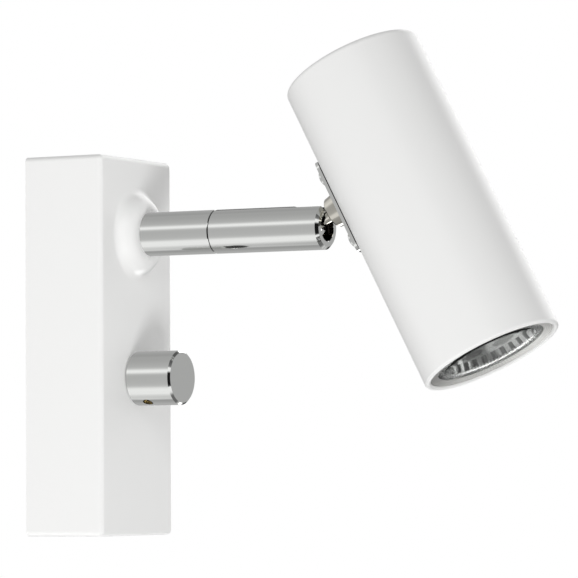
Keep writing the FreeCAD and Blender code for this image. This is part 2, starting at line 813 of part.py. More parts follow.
def make_grub_screw():
    """Grub screw against the shaft's flat, with a hexagon socket in its outer end."""
    body = new_body("knob_grub_screw")
    foot = dim["shaft_diameter"] / 2 - dim["shaft_flat"] + dim["flush_gap"]
    thread = (0, grub_level, dim["grub_diameter"] / 2)
    extrude(body, "Pad", draw_along_grub(body, thread, foot), dim["grub_length"])
    socket = [(x, y + grub_level) for x, y in hexagon(dim["grub_socket"])]
    outer = foot + dim["grub_length"]
    extrude(body, "Pocket", draw_along_grub(body, socket, outer), dim["grub_socket"], False)
    place_outward(body, knob_height)


# Arm

def make_arm_base():
    """Fixed half of the arm: thread for the nipple at the back, running bore for the spigot in front."""
    edge, thread = dim["edge_break"], dim["nipple_diameter"] / 2 + dim["thread_gap"]
    passage, thread_end = dim["nipple_bore"] / 2, boss_top + dim["nipple_engaged"]
    body = turned("arm_base", [
        (thread, boss_top), (arm_radius - edge, boss_top), (arm_radius, boss_top + edge),
        (arm_radius, base_end - edge), (arm_radius - edge, base_end), (spigot_bore, base_end),
        (spigot_bore, snap_level + snap_half_width), (snap_bed, snap_level + snap_half_width),
        (snap_bed, snap_level - snap_half_width), (spigot_bore, snap_level - snap_half_width),
        (spigot_bore, spigot_floor), (passage, spigot_floor), (passage, thread_end), (thread, thread_end),
    ])
    place_outward(body)


def make_arm_fixings():
    """Hollow nipple through the boss, with the washer and nut behind the sheet."""
    nipple, bore, edge = dim["nipple_diameter"] / 2, dim["nipple_bore"] / 2, dim["lead_in"]
    inside = boss_top - dim["sheet"]
    start, end = inside - dim["nipple_inside"], boss_top + dim["nipple_engaged"] - dim["seat_gap"]
    body = turned("arm_nipple", [
        (bore, start), (nipple - edge, start), (nipple, start + edge), (nipple, end - edge),
        (nipple - edge, end), (bore, end),
    ])
    place_outward(body)
    under = inside - dim["washer_thickness"]
    border = dim["arm_nut"] / 2 + dim["washer_border"]
    place_outward(turned("arm_washer", rectangle(nipple + dim["hole_gap"], under, border, inside)))
    low = under - dim["nut_height"]
    place_outward(nut("arm_nut", dim["arm_nut"], nipple + dim["thread_gap"], low, dim["nut_height"]))


def make_snap_ring():
    """Open wire ring that springs into the base's groove and keeps the spigot in."""
    wire = dim["snap_wire"] / 2
    body = new_body("snap_ring")
    sketch = draw(body, "XZ_Plane", [(snap_bed - wire, snap_level, wire)])
    revolve(body, "Revolution", sketch, 360 - dim["snap_opening"])
    place_outward(body)


def make_swivel_washer():
    """Thin friction washer that fills the seam, a little under the arm's surface."""
    inner = dim["spigot_diameter"] / 2 + dim["hole_gap"]
    outer = arm_radius - dim["edge_break"] * 2
    body = turned("swivel_washer", rectangle(inner, base_end + dim["running_gap"], outer, sleeve_start))
    place_outward(body)


def make_arm_plug():
    """Threaded plug in the sleeve's back; its spigot runs in the arm base and has the snap ring's groove."""
    spigot, thread = dim["spigot_diameter"] / 2, socket_radius - dim["thread_gap"]
    bore, edge = dim["lead_bore"] / 2, dim["lead_in"]
    start = spigot_floor + dim["spigot_end_gap"]
    groove = snap_bed - dim["snap_wire"] - dim["hole_gap"]
    body = turned("arm_plug", [
        (bore, start), (spigot - edge, start), (spigot, start + edge),
        (spigot, snap_level - snap_half_width), (groove, snap_level - snap_half_width),
        (groove, snap_level + snap_half_width), (spigot, snap_level + snap_half_width),
        (spigot, sleeve_start), (thread, sleeve_start), (thread, plug_end), (bore, plug_end),
    ])
    place_outward(body)


def make_disc_springs():
    """Stack of conical spring washers, each the mirror of the last, between the plug and the ball's seat."""
    inner, outer = dim["disc_bore"] / 2, socket_radius - dim["hole_gap"]
    thick, gap = dim["disc_thickness"], dim["thread_gap"]
    pitch = (seat_start - plug_end) / dim["disc_count"]
    rise = pitch - thick - gap
    discs = []
    for index in range(int(dim["disc_count"].value)):
        low = plug_end + pitch * index + gap / 2
        near, far = (low + rise, low) if index % 2 else (low, low + rise)
        discs.append([(inner, near), (outer, far), (outer, far + thick), (inner, near + thick)])
    place_outward(turned("disc_springs", *discs))


def make_ball_seat():
    """Cup behind the ball: the hollow's radius is the socket's."""
    inner, outer = dim["seat_bore"] / 2, socket_radius - dim["thread_gap"]
    body = turned("ball_seat", [
        (inner, seat_start), (outer, seat_start), (outer, seat_front),
        (leg(socket_radius, dim["seat_behind"]), seat_front, -socket_radius),
        (inner, ball_out - leg(socket_radius, inner)),
    ])
    place_outward(body)


def make_arm_sleeve():
    """Turning half of the arm. The bore closes over the ball as a sphere, opens again to the round mouth, and
    a slot runs back from the mouth along the top, so that the neck can swing up to the upright."""
    edge, chamfer, fine = dim["edge_break"], dim["sleeve_chamfer"], dim["fine_edge"]
    mouth = dim["mouth_diameter"] / 2
    lip = ball_out + leg(socket_radius, mouth)
    body = turned("arm_sleeve", [
        (socket_radius, sleeve_start), (arm_radius - edge, sleeve_start), (arm_radius, sleeve_start + edge),
        (arm_radius, sleeve_end - chamfer), (arm_radius - chamfer, sleeve_end), (mouth + fine, sleeve_end),
        (mouth, sleeve_end - fine), (mouth, lip, -socket_radius), (socket_radius, ball_out),
    ])
    half = dim["slot_across"] / 2
    back, beyond = sleeve_end - dim["slot_from_end"], sleeve_end + half
    slot = [
        (half, back + half), (half, beyond), (-half, beyond), (-half, back + half, half), (0, back, half),
    ]
    extrude(body, "Pocket", draw(body, "XZ_Plane", [slot]), arm_radius + edge, False)
    place_outward(body)


# Ball, stem and saddle

def make_ball():
    """Ball with a running bore for the stem and a counterbore behind for the stem's collar."""
    radius, flat, collar = dim["ball_diameter"] / 2, dim["ball_flat"], dim["stem_collar"] / 2
    bore = dim["stem_journal"] / 2 + dim["running_gap"]
    body = turned("ball", [
        (bore, -collar_level), (collar, -collar_level), (collar, -flat),
        (leg(radius, flat), -flat, radius), (leg(radius, flat), flat), (bore, flat),
    ])
    place_on_head(body, zero, zero, 90)


def make_ball_stem():
    """Neck and boss turned in one: journal in the ball, neck, boss hollowed to the saddle, threaded end."""
    journal, neck, bore = dim["stem_journal"] / 2, dim["neck_diameter"] / 2, dim["stem_bore"] / 2
    gap, flat, edge = dim["running_gap"], dim["ball_flat"], dim["lead_in"]
    collar, start = dim["stem_collar"] / 2 - 2 * gap, dim["seat_gap"] - flat
    face, boss, blend = dim["boss_face"], dim["stem_boss"] / 2, dim["neck_blend"]
    seat = dim["saddle_reach"] + dim["saddle_thickness"]
    body = turned("ball_stem", [
        (bore, start), (collar, start), (collar, -collar_level - gap), (journal, -collar_level - gap),
        (journal, flat + gap), (neck, flat + gap), (neck, face - blend, -blend), (neck + blend, face),
        (boss - edge, face), (boss, face + edge), (boss + dim["stem_boss_flare"], seat), (bore, seat),
    ])
    hollow = draw(body, "XZ_Plane", [(0, tube_offset, saddle_outer)])
    extrude(body, "Pocket", hollow, dim["stem_boss"] * 2, both=True)
    thread = dim["stem_thread"] / 2
    nut_seat = tube_offset - bracket_inner
    end = nut_seat + dim["nut_height"] + dim["screw_overrun"]
    revolve(body, "Revolution", draw(body, "XZ_Plane", [rectangle(bore, face + blend, thread, end)]))
    place_on_head(body, zero, zero, 90)
    fixing = nut("stem_nut", dim["stem_nut"], thread + dim["thread_gap"], nut_seat, dim["nut_height"])
    place_on_head(fixing, zero, zero, 90)


def saddle_holes(screw_gap):
    """The stem's hole and the two screws' holes, as they go through saddle, tube and bracket."""
    stem, radius = dim["stem_thread"] / 2 + dim["thread_gap"], dim["m4"] / 2 + screw_gap
    half_pitch = dim["saddle_pitch"] / 2
    return [(0, 0, stem), (0, half_pitch, radius), (0, -half_pitch, radius)]


def is_corner(edge, half):
    """True for the short edges through the plate at its four corners."""
    box = edge.BoundBox
    return box.ZLength < 1e-4 and box.XLength < 1e-4 and abs(abs(box.XMin) - half.value) < 1e-4


def make_saddle_plate():
    """Plate rolled to the tube, with rounded corners, a hole for the stem and two for the screws."""
    body = new_body("saddle_plate")
    half = dim["saddle_width"] / 2
    inner = tube_radius + dim["thread_gap"]
    section = [
        (half, leg(inner, half)), (half, leg(saddle_outer, half), saddle_outer),
        (-half, leg(saddle_outer, half)), (-half, leg(inner, half), -inner),
    ]
    extrude(body, "Pad", draw(body, "XY_Plane", [section]), dim["saddle_length"], both=True)
    dress(body, "Fillet", dim["saddle_corner"], lambda edge: is_corner(edge, half))
    holes = draw(body, "XZ_Plane", saddle_holes(dim["hole_gap"]))
    extrude(body, "Pocket", holes, saddle_outer * 2, False)
    place_on_tube(body)


def make_saddle_screws():
    length = saddle_outer - bracket_inner + dim["screw_overrun"]
    body = pan_screw("saddle_screws", "m4", length, dim["saddle_pitch"])
    place_on_head(body, -dim["saddle_reach"], dim["saddle_pitch"] / 2, -90)


# Tube, bracket and lamp holder

def make_lamp_tube():
    """Spun tube with a closed, rounded top and a rounded rim."""
    outer, inner, wall = tube_radius, tube_inner, dim["tube_wall"]
    top, foot = dim["tube_above"], -dim["tube_below"]
    round_top, rim = dim["tube_top_round"], dim["tube_rim_round"]
    inner_round = dim["tube_inner_round"]
    body = turned("lamp_tube", [
        (0, top - wall), (inner - inner_round, top - wall, -inner_round), (inner, top - wall - inner_round),
        (inner, foot + rim, rim), (inner + rim, foot), (outer - rim, foot, rim), (outer, foot + rim),
        (outer, top - round_top, round_top), (outer - round_top, top), (0, top),
    ])
    holes = draw(body, "XZ_Plane", saddle_holes(dim["hole_gap"]))
    extrude(body, "Pocket", holes, outer * 2, False)
    place_on_tube(body)


def holder_screw_places(radius):
    return [(0, side * dim["holder_pitch"] / 2, radius) for side in (above, below)]


def make_lamp_bracket():
    """Bent strap: its back lies in the tube behind the saddle, its foot reaches over the holder."""
    body = new_body("lamp_bracket")
    thick, bend, reach = dim["bracket_thickness"], dim["bracket_bend"], dim["bracket_past"]
    outer_bend = bend + thick
    strap = [
        (-reach, holder_end), (bracket_outer - outer_bend, holder_end, outer_bend),
        (bracket_outer, holder_end + outer_bend), (bracket_outer, dim["bracket_above"]),
        (bracket_inner, dim["bracket_above"]), (bracket_inner, holder_end + outer_bend, -bend),
        (bracket_inner - bend, holder_end + thick), (-reach, holder_end + thick),
    ]
    extrude(body, "Pad", draw(body, "YZ_Plane", [strap]), dim["bracket_width"], both=True)
    back = draw(body, "XZ_Plane", saddle_holes(dim["thread_gap"]))
    extrude(body, "Pocket", back, tube_radius * 2, False)
    foot = [(0, 0, dim["lead_bore"] / 2 + dim["lead_in"])]
    foot += holder_screw_places(dim["m3"] / 2 + dim["hole_gap"])
    extrude(body, "Pocket", draw(body, "XY_Plane", foot, lift=holder_end - thick), thick * 3, True)
    place_on_tube(body)


def make_lamp_holder():
    """Ceramic two-pin holder: stepped body, wells for the pins, tapped holes in its back; and its screws."""
    radius, edge, step = dim["holder_diameter"] / 2, dim["ceramic_edge"], dim["holder_step"]
    level = holder_start + dim["holder_front"]
    body = turned("lamp_holder", [
        (0, holder_start), (radius - edge, holder_start), (radius, holder_start + edge), (radius, level),
        (radius - step, level + step), (radius - step, holder_end), (0, holder_end),
    ])
    well, half_pitch = dim["pin_head"] / 2 + dim["hole_gap"], dim["pin_pitch"] / 2
    wells = draw(body, "XY_Plane", [(half_pitch, 0, well), (-half_pitch, 0, well)], lift=holder_start)
    extrude(body, "Pocket", wells, dim["pin_length"] + dim["lead_in"], True)
    tapped = draw(body, "XY_Plane", holder_screw_places(dim["m3"] / 2 + dim["thread_gap"]), lift=holder_end)
    extrude(body, "Pocket", tapped, dim["holder_thread"], False)
    place_on_tube(body)
    length = dim["bracket_thickness"] + dim["holder_thread"] - dim["lead_in"]
    screws = pan_screw("holder_screws", "m3", length, dim["holder_pitch"])
    place_on_head(screws, -tube_offset - dim["holder_pitch"] / 2, holder_end + dim["bracket_thickness"], 0)


# Lamp

def make_lamp_front():
    """Crimped ring and the glass that it holds."""
    outer, edge = dim["lamp_diameter"] / 2, dim["ring_edge"]
    lip, back = ring_inner - dim["ring_lip"], lamp_front + dim["ring_depth"]
    place_on_tube(turned("lamp_ring", [
        (lip, lamp_front), (outer - edge, lamp_front, edge), (outer, lamp_front + edge), (outer, back),
        (ring_inner, back), (ring_inner, glass_front), (lip, glass_front),
    ]))
    rim = ring_inner - dim["thread_gap"]
    place_on_tube(turned("lamp_glass", rectangle(0, glass_front, rim, glass_back)))


def make_lamp_base():
    """Ceramic base round the reflector's neck, and the two pins in its foot."""
    neck = dim["reflector_throat"] / 2 + dim["reflector_wall"] + dim["thread_gap"]
    base, foot, edge = dim["base_diameter"] / 2, dim["base_foot"] / 2, dim["ceramic_edge"]
    seat = reflector_back + dim["thread_gap"]
    place_on_tube(turned("lamp_base", [
        (0, seat), (neck, seat), (neck, base_start), (base - edge, base_start), (base, base_start + edge),
        (base, base_start + dim["base_cylinder"]), (foot, base_back - dim["base_foot_length"]),
        (foot, base_back), (0, base_back),
    ]))
    head, stem, edge = dim["pin_head"] / 2, dim["pin_neck"] / 2, dim["lead_in"]
    tip = base_back + dim["pin_length"]
    shoulder = tip - dim["pin_head_length"]
    pins = turned("lamp_pins", [
        (0, base_back), (stem, base_back), (stem, shoulder), (head, shoulder), (head, tip - edge),
        (head - edge, tip), (0, tip),
    ])
    copy_along(pins, [pins.Tip], "X_Axis", dim["pin_pitch"])
    place_on_head(pins, -tube_offset, zero, 0, across=-dim["pin_pitch"] / 2)


def make_burner():
    """Glass capsule that stands in the reflector's throat."""
    radius = dim["burner_diameter"] / 2
    tip = throat_level - dim["burner_length"]
    place_on_tube(turned("lamp_burner", [
        (0, tip), (radius / 2, tip, radius / 2), (radius, tip + radius / 2), (radius, reflector_back),
        (0, reflector_back),
    ]))


def bowl_radius(share):
    """Radius of the reflector's parabola at a share of its depth, from the throat at 0 to the mouth at 1."""
    throat, mouth = dim["reflector_throat"].value / 2, mouth_radius.value
    return math.sqrt(throat ** 2 + (mouth ** 2 - throat ** 2) * share)


def bowl_level(share):
    return throat_level.value - dim["reflector_depth"].value * share


def facet_ring(share):
    """Wire of one polygon of the facetted bowl."""
    count = int(dim["facets_round"].value)
    radius, level = bowl_radius(share), bowl_level(share)
    turns = [2 * math.pi * step / count for step in range(count + 1)]
    corners = [FreeCAD.Vector(radius * math.cos(a), radius * math.sin(a), level) for a in turns]
    return Part.makePolygon(corners)


def make_reflector():
    """Bowl of flat facets: rings of equal-sided polygons on a parabola, joined by ruled bands, cut out of a
    smooth outer bowl with a rim that the ring holds against the glass."""
    curve_steps = 24
    rings, wall = int(dim["facet_rings"].value), dim["reflector_wall"].value
    front, back = glass_back.value, reflector_back.value
    facets = Part.makeLoft([facet_ring(step / rings) for step in range(rings + 1)], True, True)
    shares = [step / curve_steps for step in range(curve_steps + 1)]
    curve = Part.BSplineCurve()
    curve.interpolate([FreeCAD.Vector(bowl_radius(s) + wall, 0, bowl_level(s)) for s in shares])
    neck, rim = curve.StartPoint, curve.EndPoint
    corners = [rim, FreeCAD.Vector(0, 0, front), FreeCAD.Vector(0, 0, back), FreeCAD.Vector(neck.x, 0, back)]
    section = Part.Wire([curve.toShape(), *Part.makePolygon([*corners, neck]).Edges])
    bowl = Part.Face(section).revolve(FreeCAD.Vector(), FreeCAD.Vector(0, 0, 1), 360)
    flange = Part.makeCylinder((ring_inner - dim["thread_gap"]).value, wall, FreeCAD.Vector(0, 0, front))
    burner = (dim["burner_diameter"] / 2 + dim["flush_gap"]).value
    hole = Part.makeCylinder(burner, wall * 3, FreeCAD.Vector(0, 0, throat_level.value - wall))
    feature = doc.addObject("Part::Feature", "lamp_reflector")
    feature.Shape = bowl.fuse(flange).cut(facets).cut(hole).removeSplitter()
    feature.Label = "lamp_reflector"
    place_on_tube(feature)


# Leads: each is a tube along straight runs joined by arcs. They stop at the joints, where the real ones bend

def rounded_path(points):
    """Wire through the points, with each corner's arc as large as its two runs allow."""
    arc_share = 0.45
    edges = []
    start = points[0]
    for before, corner, after in zip(points, points[1:], points[2:]):
        arrive, leave = (corner - before).normalize(), (after - corner).normalize()
        half_turn = arrive.getAngle(leave) / 2
        cut = arc_share * min((corner - before).Length, (after - corner).Length)
        first, last = corner - arrive * cut, corner + leave * cut
        radius = cut / math.tan(half_turn)
        middle = corner + (leave - arrive).normalize() * (radius / math.cos(half_turn) - radius)
        edges.append(Part.LineSegment(start, first).toShape())
        edges.append(Part.Arc(first, middle, last).toShape())
        start = last
    edges.append(Part.LineSegment(start, points[-1]).toShape())
    return Part.Wire(edges)


def lead(points):
    vectors = [FreeCAD.Vector(*(size(value).value for value in point)) for point in points]
    section = Part.Wire(Part.makeCircle(lead_radius.value, vectors[0], vectors[1] - vectors[0]))
    return rounded_path(vectors).makePipeShell([section], True, True)


def add_leads(label, routes):
    feature = doc.addObject("Part::Feature", label)
    feature.Shape = Part.makeCompound([lead(route) for route in routes])
    feature.Label = label
    return feature


def make_box_leads():
    """Wires in the wall box: neutral and switched lead to the arm, live lead to the dimmer."""
    shelf = -(dim["plate_thickness"] + dim["terminal_depth"] / 2)
    start = terminal_level + dim["terminal_height"] / 2 - dim["terminal_well"] / 2
    seam, turn_in = dim["seat_gap"] - base_end, dim["lead_turn"] - boss_top
    side, back = dim["terminal_pitch"], -dimmer_back
    feed, outlet = knob_height - dim["dimmer_feed"], knob_height + dim["dimmer_outlet"]
    neutral = [
        (-side, shelf, start), (-side, shelf, arm_height), (-lead_offset, turn_in, arm_height),
        (-lead_offset, seam, arm_height),
    ]
    switched = [
        (side, back, outlet), (side, shelf, outlet), (side, shelf, arm_height),
        (lead_offset, turn_in, arm_height), (lead_offset, seam, arm_height),
    ]
    live = [(side, shelf, start), (side, shelf, feed), (side, back, feed)]
    add_leads("supply_leads", [neutral, switched])
    add_leads("dimmer_leads", [live])


def make_arm_leads():
    """The pair of wires in the sleeve, from the seam to just behind the ball."""
    body = new_body("arm_leads")
    pair = [(lead_offset, 0, lead_radius), (-lead_offset, 0, lead_radius)]
    length = ball_out - socket_radius - dim["lead_gap"] - sleeve_start
    extrude(body, "Pad", draw(body, "XY_Plane", pair, lift=sleeve_start), length)
    place_outward(body)


def make_lamp_leads():
    """The pair of wires from the middle of the ball, through the stem and down to the holder."""
    sides = lead_offset, -lead_offset
    routes = [[(x, 0, 0), (x, -tube_offset, 0), (x, -tube_offset, holder_end)] for x in sides]
    place_on_head(add_leads("lamp_leads", routes), zero, zero, 0)


def make_parts():
    make_housing()
    make_wall_plate()
    make_cover_screws()
    make_cable_grommet()
    make_terminal_block()
    make_terminal_screws()
    make_plate_screws()
    make_dimmer_body()
    make_dimmer_fixings()
    make_dimmer_shaft()
    make_knob()
    make_grub_screw()
    make_arm_base()
    make_arm_fixings()
    make_snap_ring()
    make_swivel_washer()
    make_arm_plug()
    make_disc_springs()
    make_ball_seat()
    make_arm_sleeve()
    make_ball()
    make_ball_stem()
    make_saddle_plate()
    make_saddle_screws()
    make_lamp_tube()
    make_lamp_bracket()
    make_lamp_holder()
    make_lamp_front()
    make_lamp_base()
    make_burner()
    make_reflector()
    make_box_leads()
    make_arm_leads()
    make_lamp_leads()


def check_features():
    """Stop on any failed feature and on a cut that removes nothing."""
    for item in doc.Objects:
        if "Invalid" in item.State or "Error" in item.State:
            raise RuntimeError(f"{item.Label} is {item.State}")
        if item.TypeId in ("PartDesign::Pocket", "PartDesign::Groove"):
            if item.Shape.Volume > item.BaseFeature.Shape.Volume - 1e-3:
                raise RuntimeError(f"{item.Name} cuts nothing")


def write_parts():
    """Stop on a bad shape, or write every part."""
    os.makedirs("parts", exist_ok=True)
    parts = [item for item in doc.Objects if item.TypeId in ("PartDesign::Body", "Part::Feature")]
    for item in parts:
        shape = item.Shape
        if shape.isNull() or not shape.isValid() or not shape.Solids:
            raise RuntimeError(f"{item.Label} has no valid solid")
        shape.exportStep(f"parts/{item.Label}.step")
        print(f"{item.Label}: {len(shape.Solids)} solid(s), {shape.Volume / 1000:.2f} cm3")
    print(f"{len(parts)} parts")


make_parts()
doc.recompute()
check_features()
write_parts()
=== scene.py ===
import json
import math

import bmesh
import bpy
import numpy as np
from mathutils import Matrix, Vector


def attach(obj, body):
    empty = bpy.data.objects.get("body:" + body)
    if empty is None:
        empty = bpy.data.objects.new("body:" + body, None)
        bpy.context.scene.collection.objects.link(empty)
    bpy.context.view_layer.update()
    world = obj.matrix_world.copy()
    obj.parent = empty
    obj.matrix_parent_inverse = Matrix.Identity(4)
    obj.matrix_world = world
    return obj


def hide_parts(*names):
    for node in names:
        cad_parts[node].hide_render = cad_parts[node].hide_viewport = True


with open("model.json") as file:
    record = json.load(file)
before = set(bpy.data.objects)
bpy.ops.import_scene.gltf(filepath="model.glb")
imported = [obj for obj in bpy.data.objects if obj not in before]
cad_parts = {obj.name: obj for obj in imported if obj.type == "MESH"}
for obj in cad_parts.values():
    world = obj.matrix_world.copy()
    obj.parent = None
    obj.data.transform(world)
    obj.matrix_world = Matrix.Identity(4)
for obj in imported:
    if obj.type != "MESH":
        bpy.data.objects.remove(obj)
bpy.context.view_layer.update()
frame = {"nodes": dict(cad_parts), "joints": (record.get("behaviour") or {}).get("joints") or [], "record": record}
nodes = frame["nodes"]
record = frame["record"]
print("frame loaded:", len(nodes), "nodes")

mm = 0.001


# Camera: turned and tilted about the object, with a long lens. Angles in degrees, position in mm,
# nearest and farthest view in metres
cameraPlace = dict(azimuth=-62.290, elevation=-2.819, roll=-0.325, focalPixels=3840.0,
                   imagePixels=578, sensor=36.0, position=(-1411.48, -851.17, -56.03), nearest=0.05,
                   farthest=60.0)


def makeCamera():
    # axes: back from azimuth and elevation, right and up turned about it by the roll; lens = sensor
    # times the focal length in pixels over the image's width
    c = cameraPlace
    azimuth, elevation, roll = (math.radians(c[k]) for k in ("azimuth", "elevation", "roll"))
    back = Vector((
        math.sin(azimuth) * math.cos(elevation), -math.cos(azimuth) * math.cos(elevation),
        math.sin(elevation),
    ))
    level = Vector((math.cos(azimuth), math.sin(azimuth), 0))
    over = back.cross(level)
    right = math.cos(roll) * level + math.sin(roll) * over
    up = -math.sin(roll) * level + math.cos(roll) * over
    data = bpy.data.cameras.new("camera")
    data.sensor_width = c["sensor"]
    data.lens = c["focalPixels"] * c["sensor"] / c["imagePixels"]
    data.clip_start, data.clip_end = c["nearest"], c["farthest"]
    camera = bpy.data.objects.new("camera", data)
    bpy.context.scene.collection.objects.link(camera)
    turn = Matrix((right, up, back)).transposed().to_4x4()
    camera.matrix_world = Matrix.Translation(Vector(c["position"]) * mm) @ turn
    bpy.context.scene.camera = camera


makeCamera()
print("camera set")


# Node helpers

def linear(hexColour):
    # sRGB to linear light: the straight foot, then the 2.4 power
    parts = [int(hexColour[i:i + 2], 16) / 255 for i in (1, 3, 5)]
    light = (p / 12.92 if p <= 0.04045 else ((p + 0.055) / 1.055) ** 2.4 for p in parts)
    return tuple(light) + (1.0,)


def grey(level):
    return level, level, level, 1.0


def newMaterial(name, c, metallic=0.0):
    material = bpy.data.materials.new(name)
    material.use_nodes = True
    tree = material.node_tree
    shader = tree.nodes["Principled BSDF"]
    shader.inputs["Base Color"].default_value = linear(c["colour"])
    shader.inputs["Roughness"].default_value = c["roughness"]
    shader.inputs["Metallic"].default_value = metallic
    return material, tree, shader


def addNode(tree, kind, inputs=None, **settings):
    node = tree.nodes.new(kind)
    for key, value in settings.items():
        setattr(node, key, value)
    for key, value in (inputs or {}).items():
        socket = node.inputs[key]
        if isinstance(value, bpy.types.NodeSocket):
            tree.links.new(value, socket)
        else:
            socket.default_value = value
    return node


def scalarMath(tree, operation, *values):
    return addNode(tree, "ShaderNodeMath", dict(enumerate(values)), operation=operation).outputs[0]


def vectorMath(tree, operation, *values, output="Vector"):
    node = addNode(tree, "ShaderNodeVectorMath", dict(enumerate(values)), operation=operation)
    return node.outputs[output]


def scaled(tree, vector, factor):
    inputs = {0: vector, "Scale": factor}
    return addNode(tree, "ShaderNodeVectorMath", inputs, operation="SCALE").outputs[0]


def spread(tree, value, start, end, low=0.0, high=1.0, **settings):
    # low plus the value's share of the way from start to end, times the way from low to high, held
    # between both
    inputs = {0: value, 1: start, 2: end, 3: low, 4: high}
    return addNode(tree, "ShaderNodeMapRange", inputs, **settings).outputs[0]


def mixColours(tree, share, first, second):
    inputs = {0: share, 6: first, 7: second}
    return addNode(tree, "ShaderNodeMix", inputs, data_type="RGBA").outputs[2]


def ownPoint(tree):
    return addNode(tree, "ShaderNodeTexCoord").outputs["Object"]


# octaves of the noise, from one soft wave to a rough grain
noiseDetail = dict(smooth=0.0, soft=1.0, grainy=2.0, rough=3.0)
# the stretch of the noise's values that roughness and colour follow
noiseSpan = dict(roughness=(0.3, 0.7), colour=(0.35, 0.65))


def grainNoise(tree, grain, detail="grainy"):
    # noise of the object point divided by the grain, the size in mm of one cell: one number, or
    # three along x, y and z
    sizes = grain if isinstance(grain, tuple) else (grain,) * 3
    scale = tuple(1 / (size * mm) for size in sizes)
    point = addNode(tree, "ShaderNodeMapping", {"Vector": ownPoint(tree), "Scale": scale})
    inputs = {"Vector": point.outputs[0], "Scale": 1.0, "Detail": noiseDetail[detail]}
    return addNode(tree, "ShaderNodeTexNoise", inputs).outputs[0]


def varyRoughness(tree, shader, noise, c):
    low, high = c["roughness"] - c["smoother"], c["roughness"] + c["rougher"]
    varied = spread(tree, noise, *noiseSpan["roughness"], low, high)
    tree.links.new(varied, shader.inputs["Roughness"])


def varyColour(tree, shader, noise, first, second):
    ramp = addNode(tree, "ShaderNodeValToRGB", {0: noise})
    for stop, place, colour in zip(ramp.color_ramp.elements, noiseSpan["colour"], (first, second)):
        stop.position, stop.color = place, linear(colour)
    tree.links.new(ramp.outputs[0], shader.inputs["Base Color"])


def addBump(tree, shader, height, depth):
    inputs = {"Height": height, "Distance": depth * mm, "Strength": 1.0}
    tree.links.new(addNode(tree, "ShaderNodeBump", inputs).outputs[0], shader.inputs["Normal"])


def mixByMask(tree, shader, mask, outside, inside):
    mixed = mixColours(tree, mask, linear(outside), linear(inside))
    tree.links.new(mixed, shader.inputs["Base Color"])


def mixByTone(tree, shader, dark, light):
    # the tone kept on a mesh's points leads from the dark colour at 0 to the light one at 1
    tone = addNode(tree, "ShaderNodeAttribute", attribute_name="tone").outputs["Fac"]
    mixByMask(tree, shader, tone, dark, light)


def below(tree, value, limit, soft=0.05):
    # 1 where the value in metres is under the limit in mm, with a soft step
    return spread(tree, value, (limit + soft) * mm, (limit - soft) * mm)


def above(tree, value, limit, soft=0.05):
    # the same step the other way up
    return below(tree, value, limit, -soft)


def levelAlong(tree, centre, axis):
    # offset of the object point from the centre, and its length along the axis
    offset = vectorMath(tree, "SUBTRACT", ownPoint(tree), centre)
    return offset, vectorMath(tree, "DOT_PRODUCT", offset, axis, output="Value")


def radiusAbout(tree, centre, axis):
    # distance of the object point from the line through centre along axis: length of the offset
    # less its share along that axis
    offset, along = levelAlong(tree, centre, axis)
    across = vectorMath(tree, "SUBTRACT", offset, scaled(tree, axis, along))
    return vectorMath(tree, "LENGTH", across, output="Value")


# Head, in degrees and mm: the tube leans about the ball; levels run along its axis from the pivot's
# foot, towards the closed top
headPlace = dict(tilt=27.4, tubeOffset=48.55, lampFront=-86.2)
tilt = math.radians(headPlace["tilt"])
ballCentre = np.array(next(j["pos_m"] for j in frame["joints"] if j["name"] == "head_tilt"))
headAxes = np.array([
    [1, 0, 0],
    [0, math.cos(tilt), -math.sin(tilt)],
    [0, math.sin(tilt), math.cos(tilt)],
])
tubeAxis = headAxes[2]
tubeFoot = ballCentre - headPlace["tubeOffset"] * mm * headAxes[1]


# Finishes. Grain sizes and depths in mm; roughness varies from smoother under it to rougher over it

# powder coat, sprayed and baked: satin white with a very fine orange peel
# inside: a dark grey painted on the coat as shade within the tube's bore
powderCoat = dict(colour="#f5f5f4", inside="#33332f", roughness=0.32, smoother=0.03, rougher=0.03,
                  peel=1.4, peelDepth=0.006)
# the same coat on the tube, painted a shade greyer as shade so the tube renders darker than the box
shadedTubeCoat = dict(powderCoat, colour="#ededec")


def makePowderCoat(name, c, boreShadeMask=None):
    # the mask, where given, is 1 inside the bore, where the coat is painted dark grey as shade
    material, tree, shader = newMaterial(name, c)
    peel = grainNoise(tree, c["peel"], "soft")
    varyRoughness(tree, shader, peel, c)
    addBump(tree, shader, peel, c["peelDepth"])
    if boreShadeMask:
        mixByMask(tree, shader, boreShadeMask(tree), c["colour"], c["inside"])
    return material


# bright nickel-chrome plate on turned and buffed brass: clear reflections, faint lathe rings
# the near-black colour here is painted shade, laid on the plating in the socket, the slot and the saddle's seam
chromePlate = dict(colour="#e6e7e5", shadeColour="#1d1a18", roughness=0.07, smoother=0.02, rougher=0.03,
                   lathePitch=0.25, latheLength=40.0, latheDepth=0.0002, wave=9.0, waveLength=27.0,
                   waveDepth=0.006)
# plain nickel on the ball's stem: warmer than the chrome over it
nickelPlate = dict(chromePlate, colour="#cdcac1")


def makeChrome(name, c, paintedShadeMask=None):
    # relief = rings times their share of the depth plus the wave; the mask, where given, is 1 where
    # the plating is painted near black as shade
    material, tree, shader = newMaterial(name, c, 1.0)
    rings = grainNoise(tree, (c["latheLength"], c["lathePitch"], c["latheLength"]))
    wave = grainNoise(tree, (c["wave"], c["waveLength"], c["wave"]), "smooth")
    varyRoughness(tree, shader, rings, c)
    height = scalarMath(tree, "MULTIPLY_ADD", rings, c["latheDepth"] / c["waveDepth"], wave)
    addBump(tree, shader, height, c["waveDepth"])
    if paintedShadeMask:
        mixByMask(tree, shader, paintedShadeMask(tree), c["colour"], c["shadeColour"])
    return material


# zinc-plated steel: cool grey with faint blue and straw clouds of passivation
zincPlate = dict(colour="#b4b8bb", straw="#bab7ae", roughness=0.34, smoother=0.06, rougher=0.08,
                 cloud=7.0, grain=0.5, grainDepth=0.004)
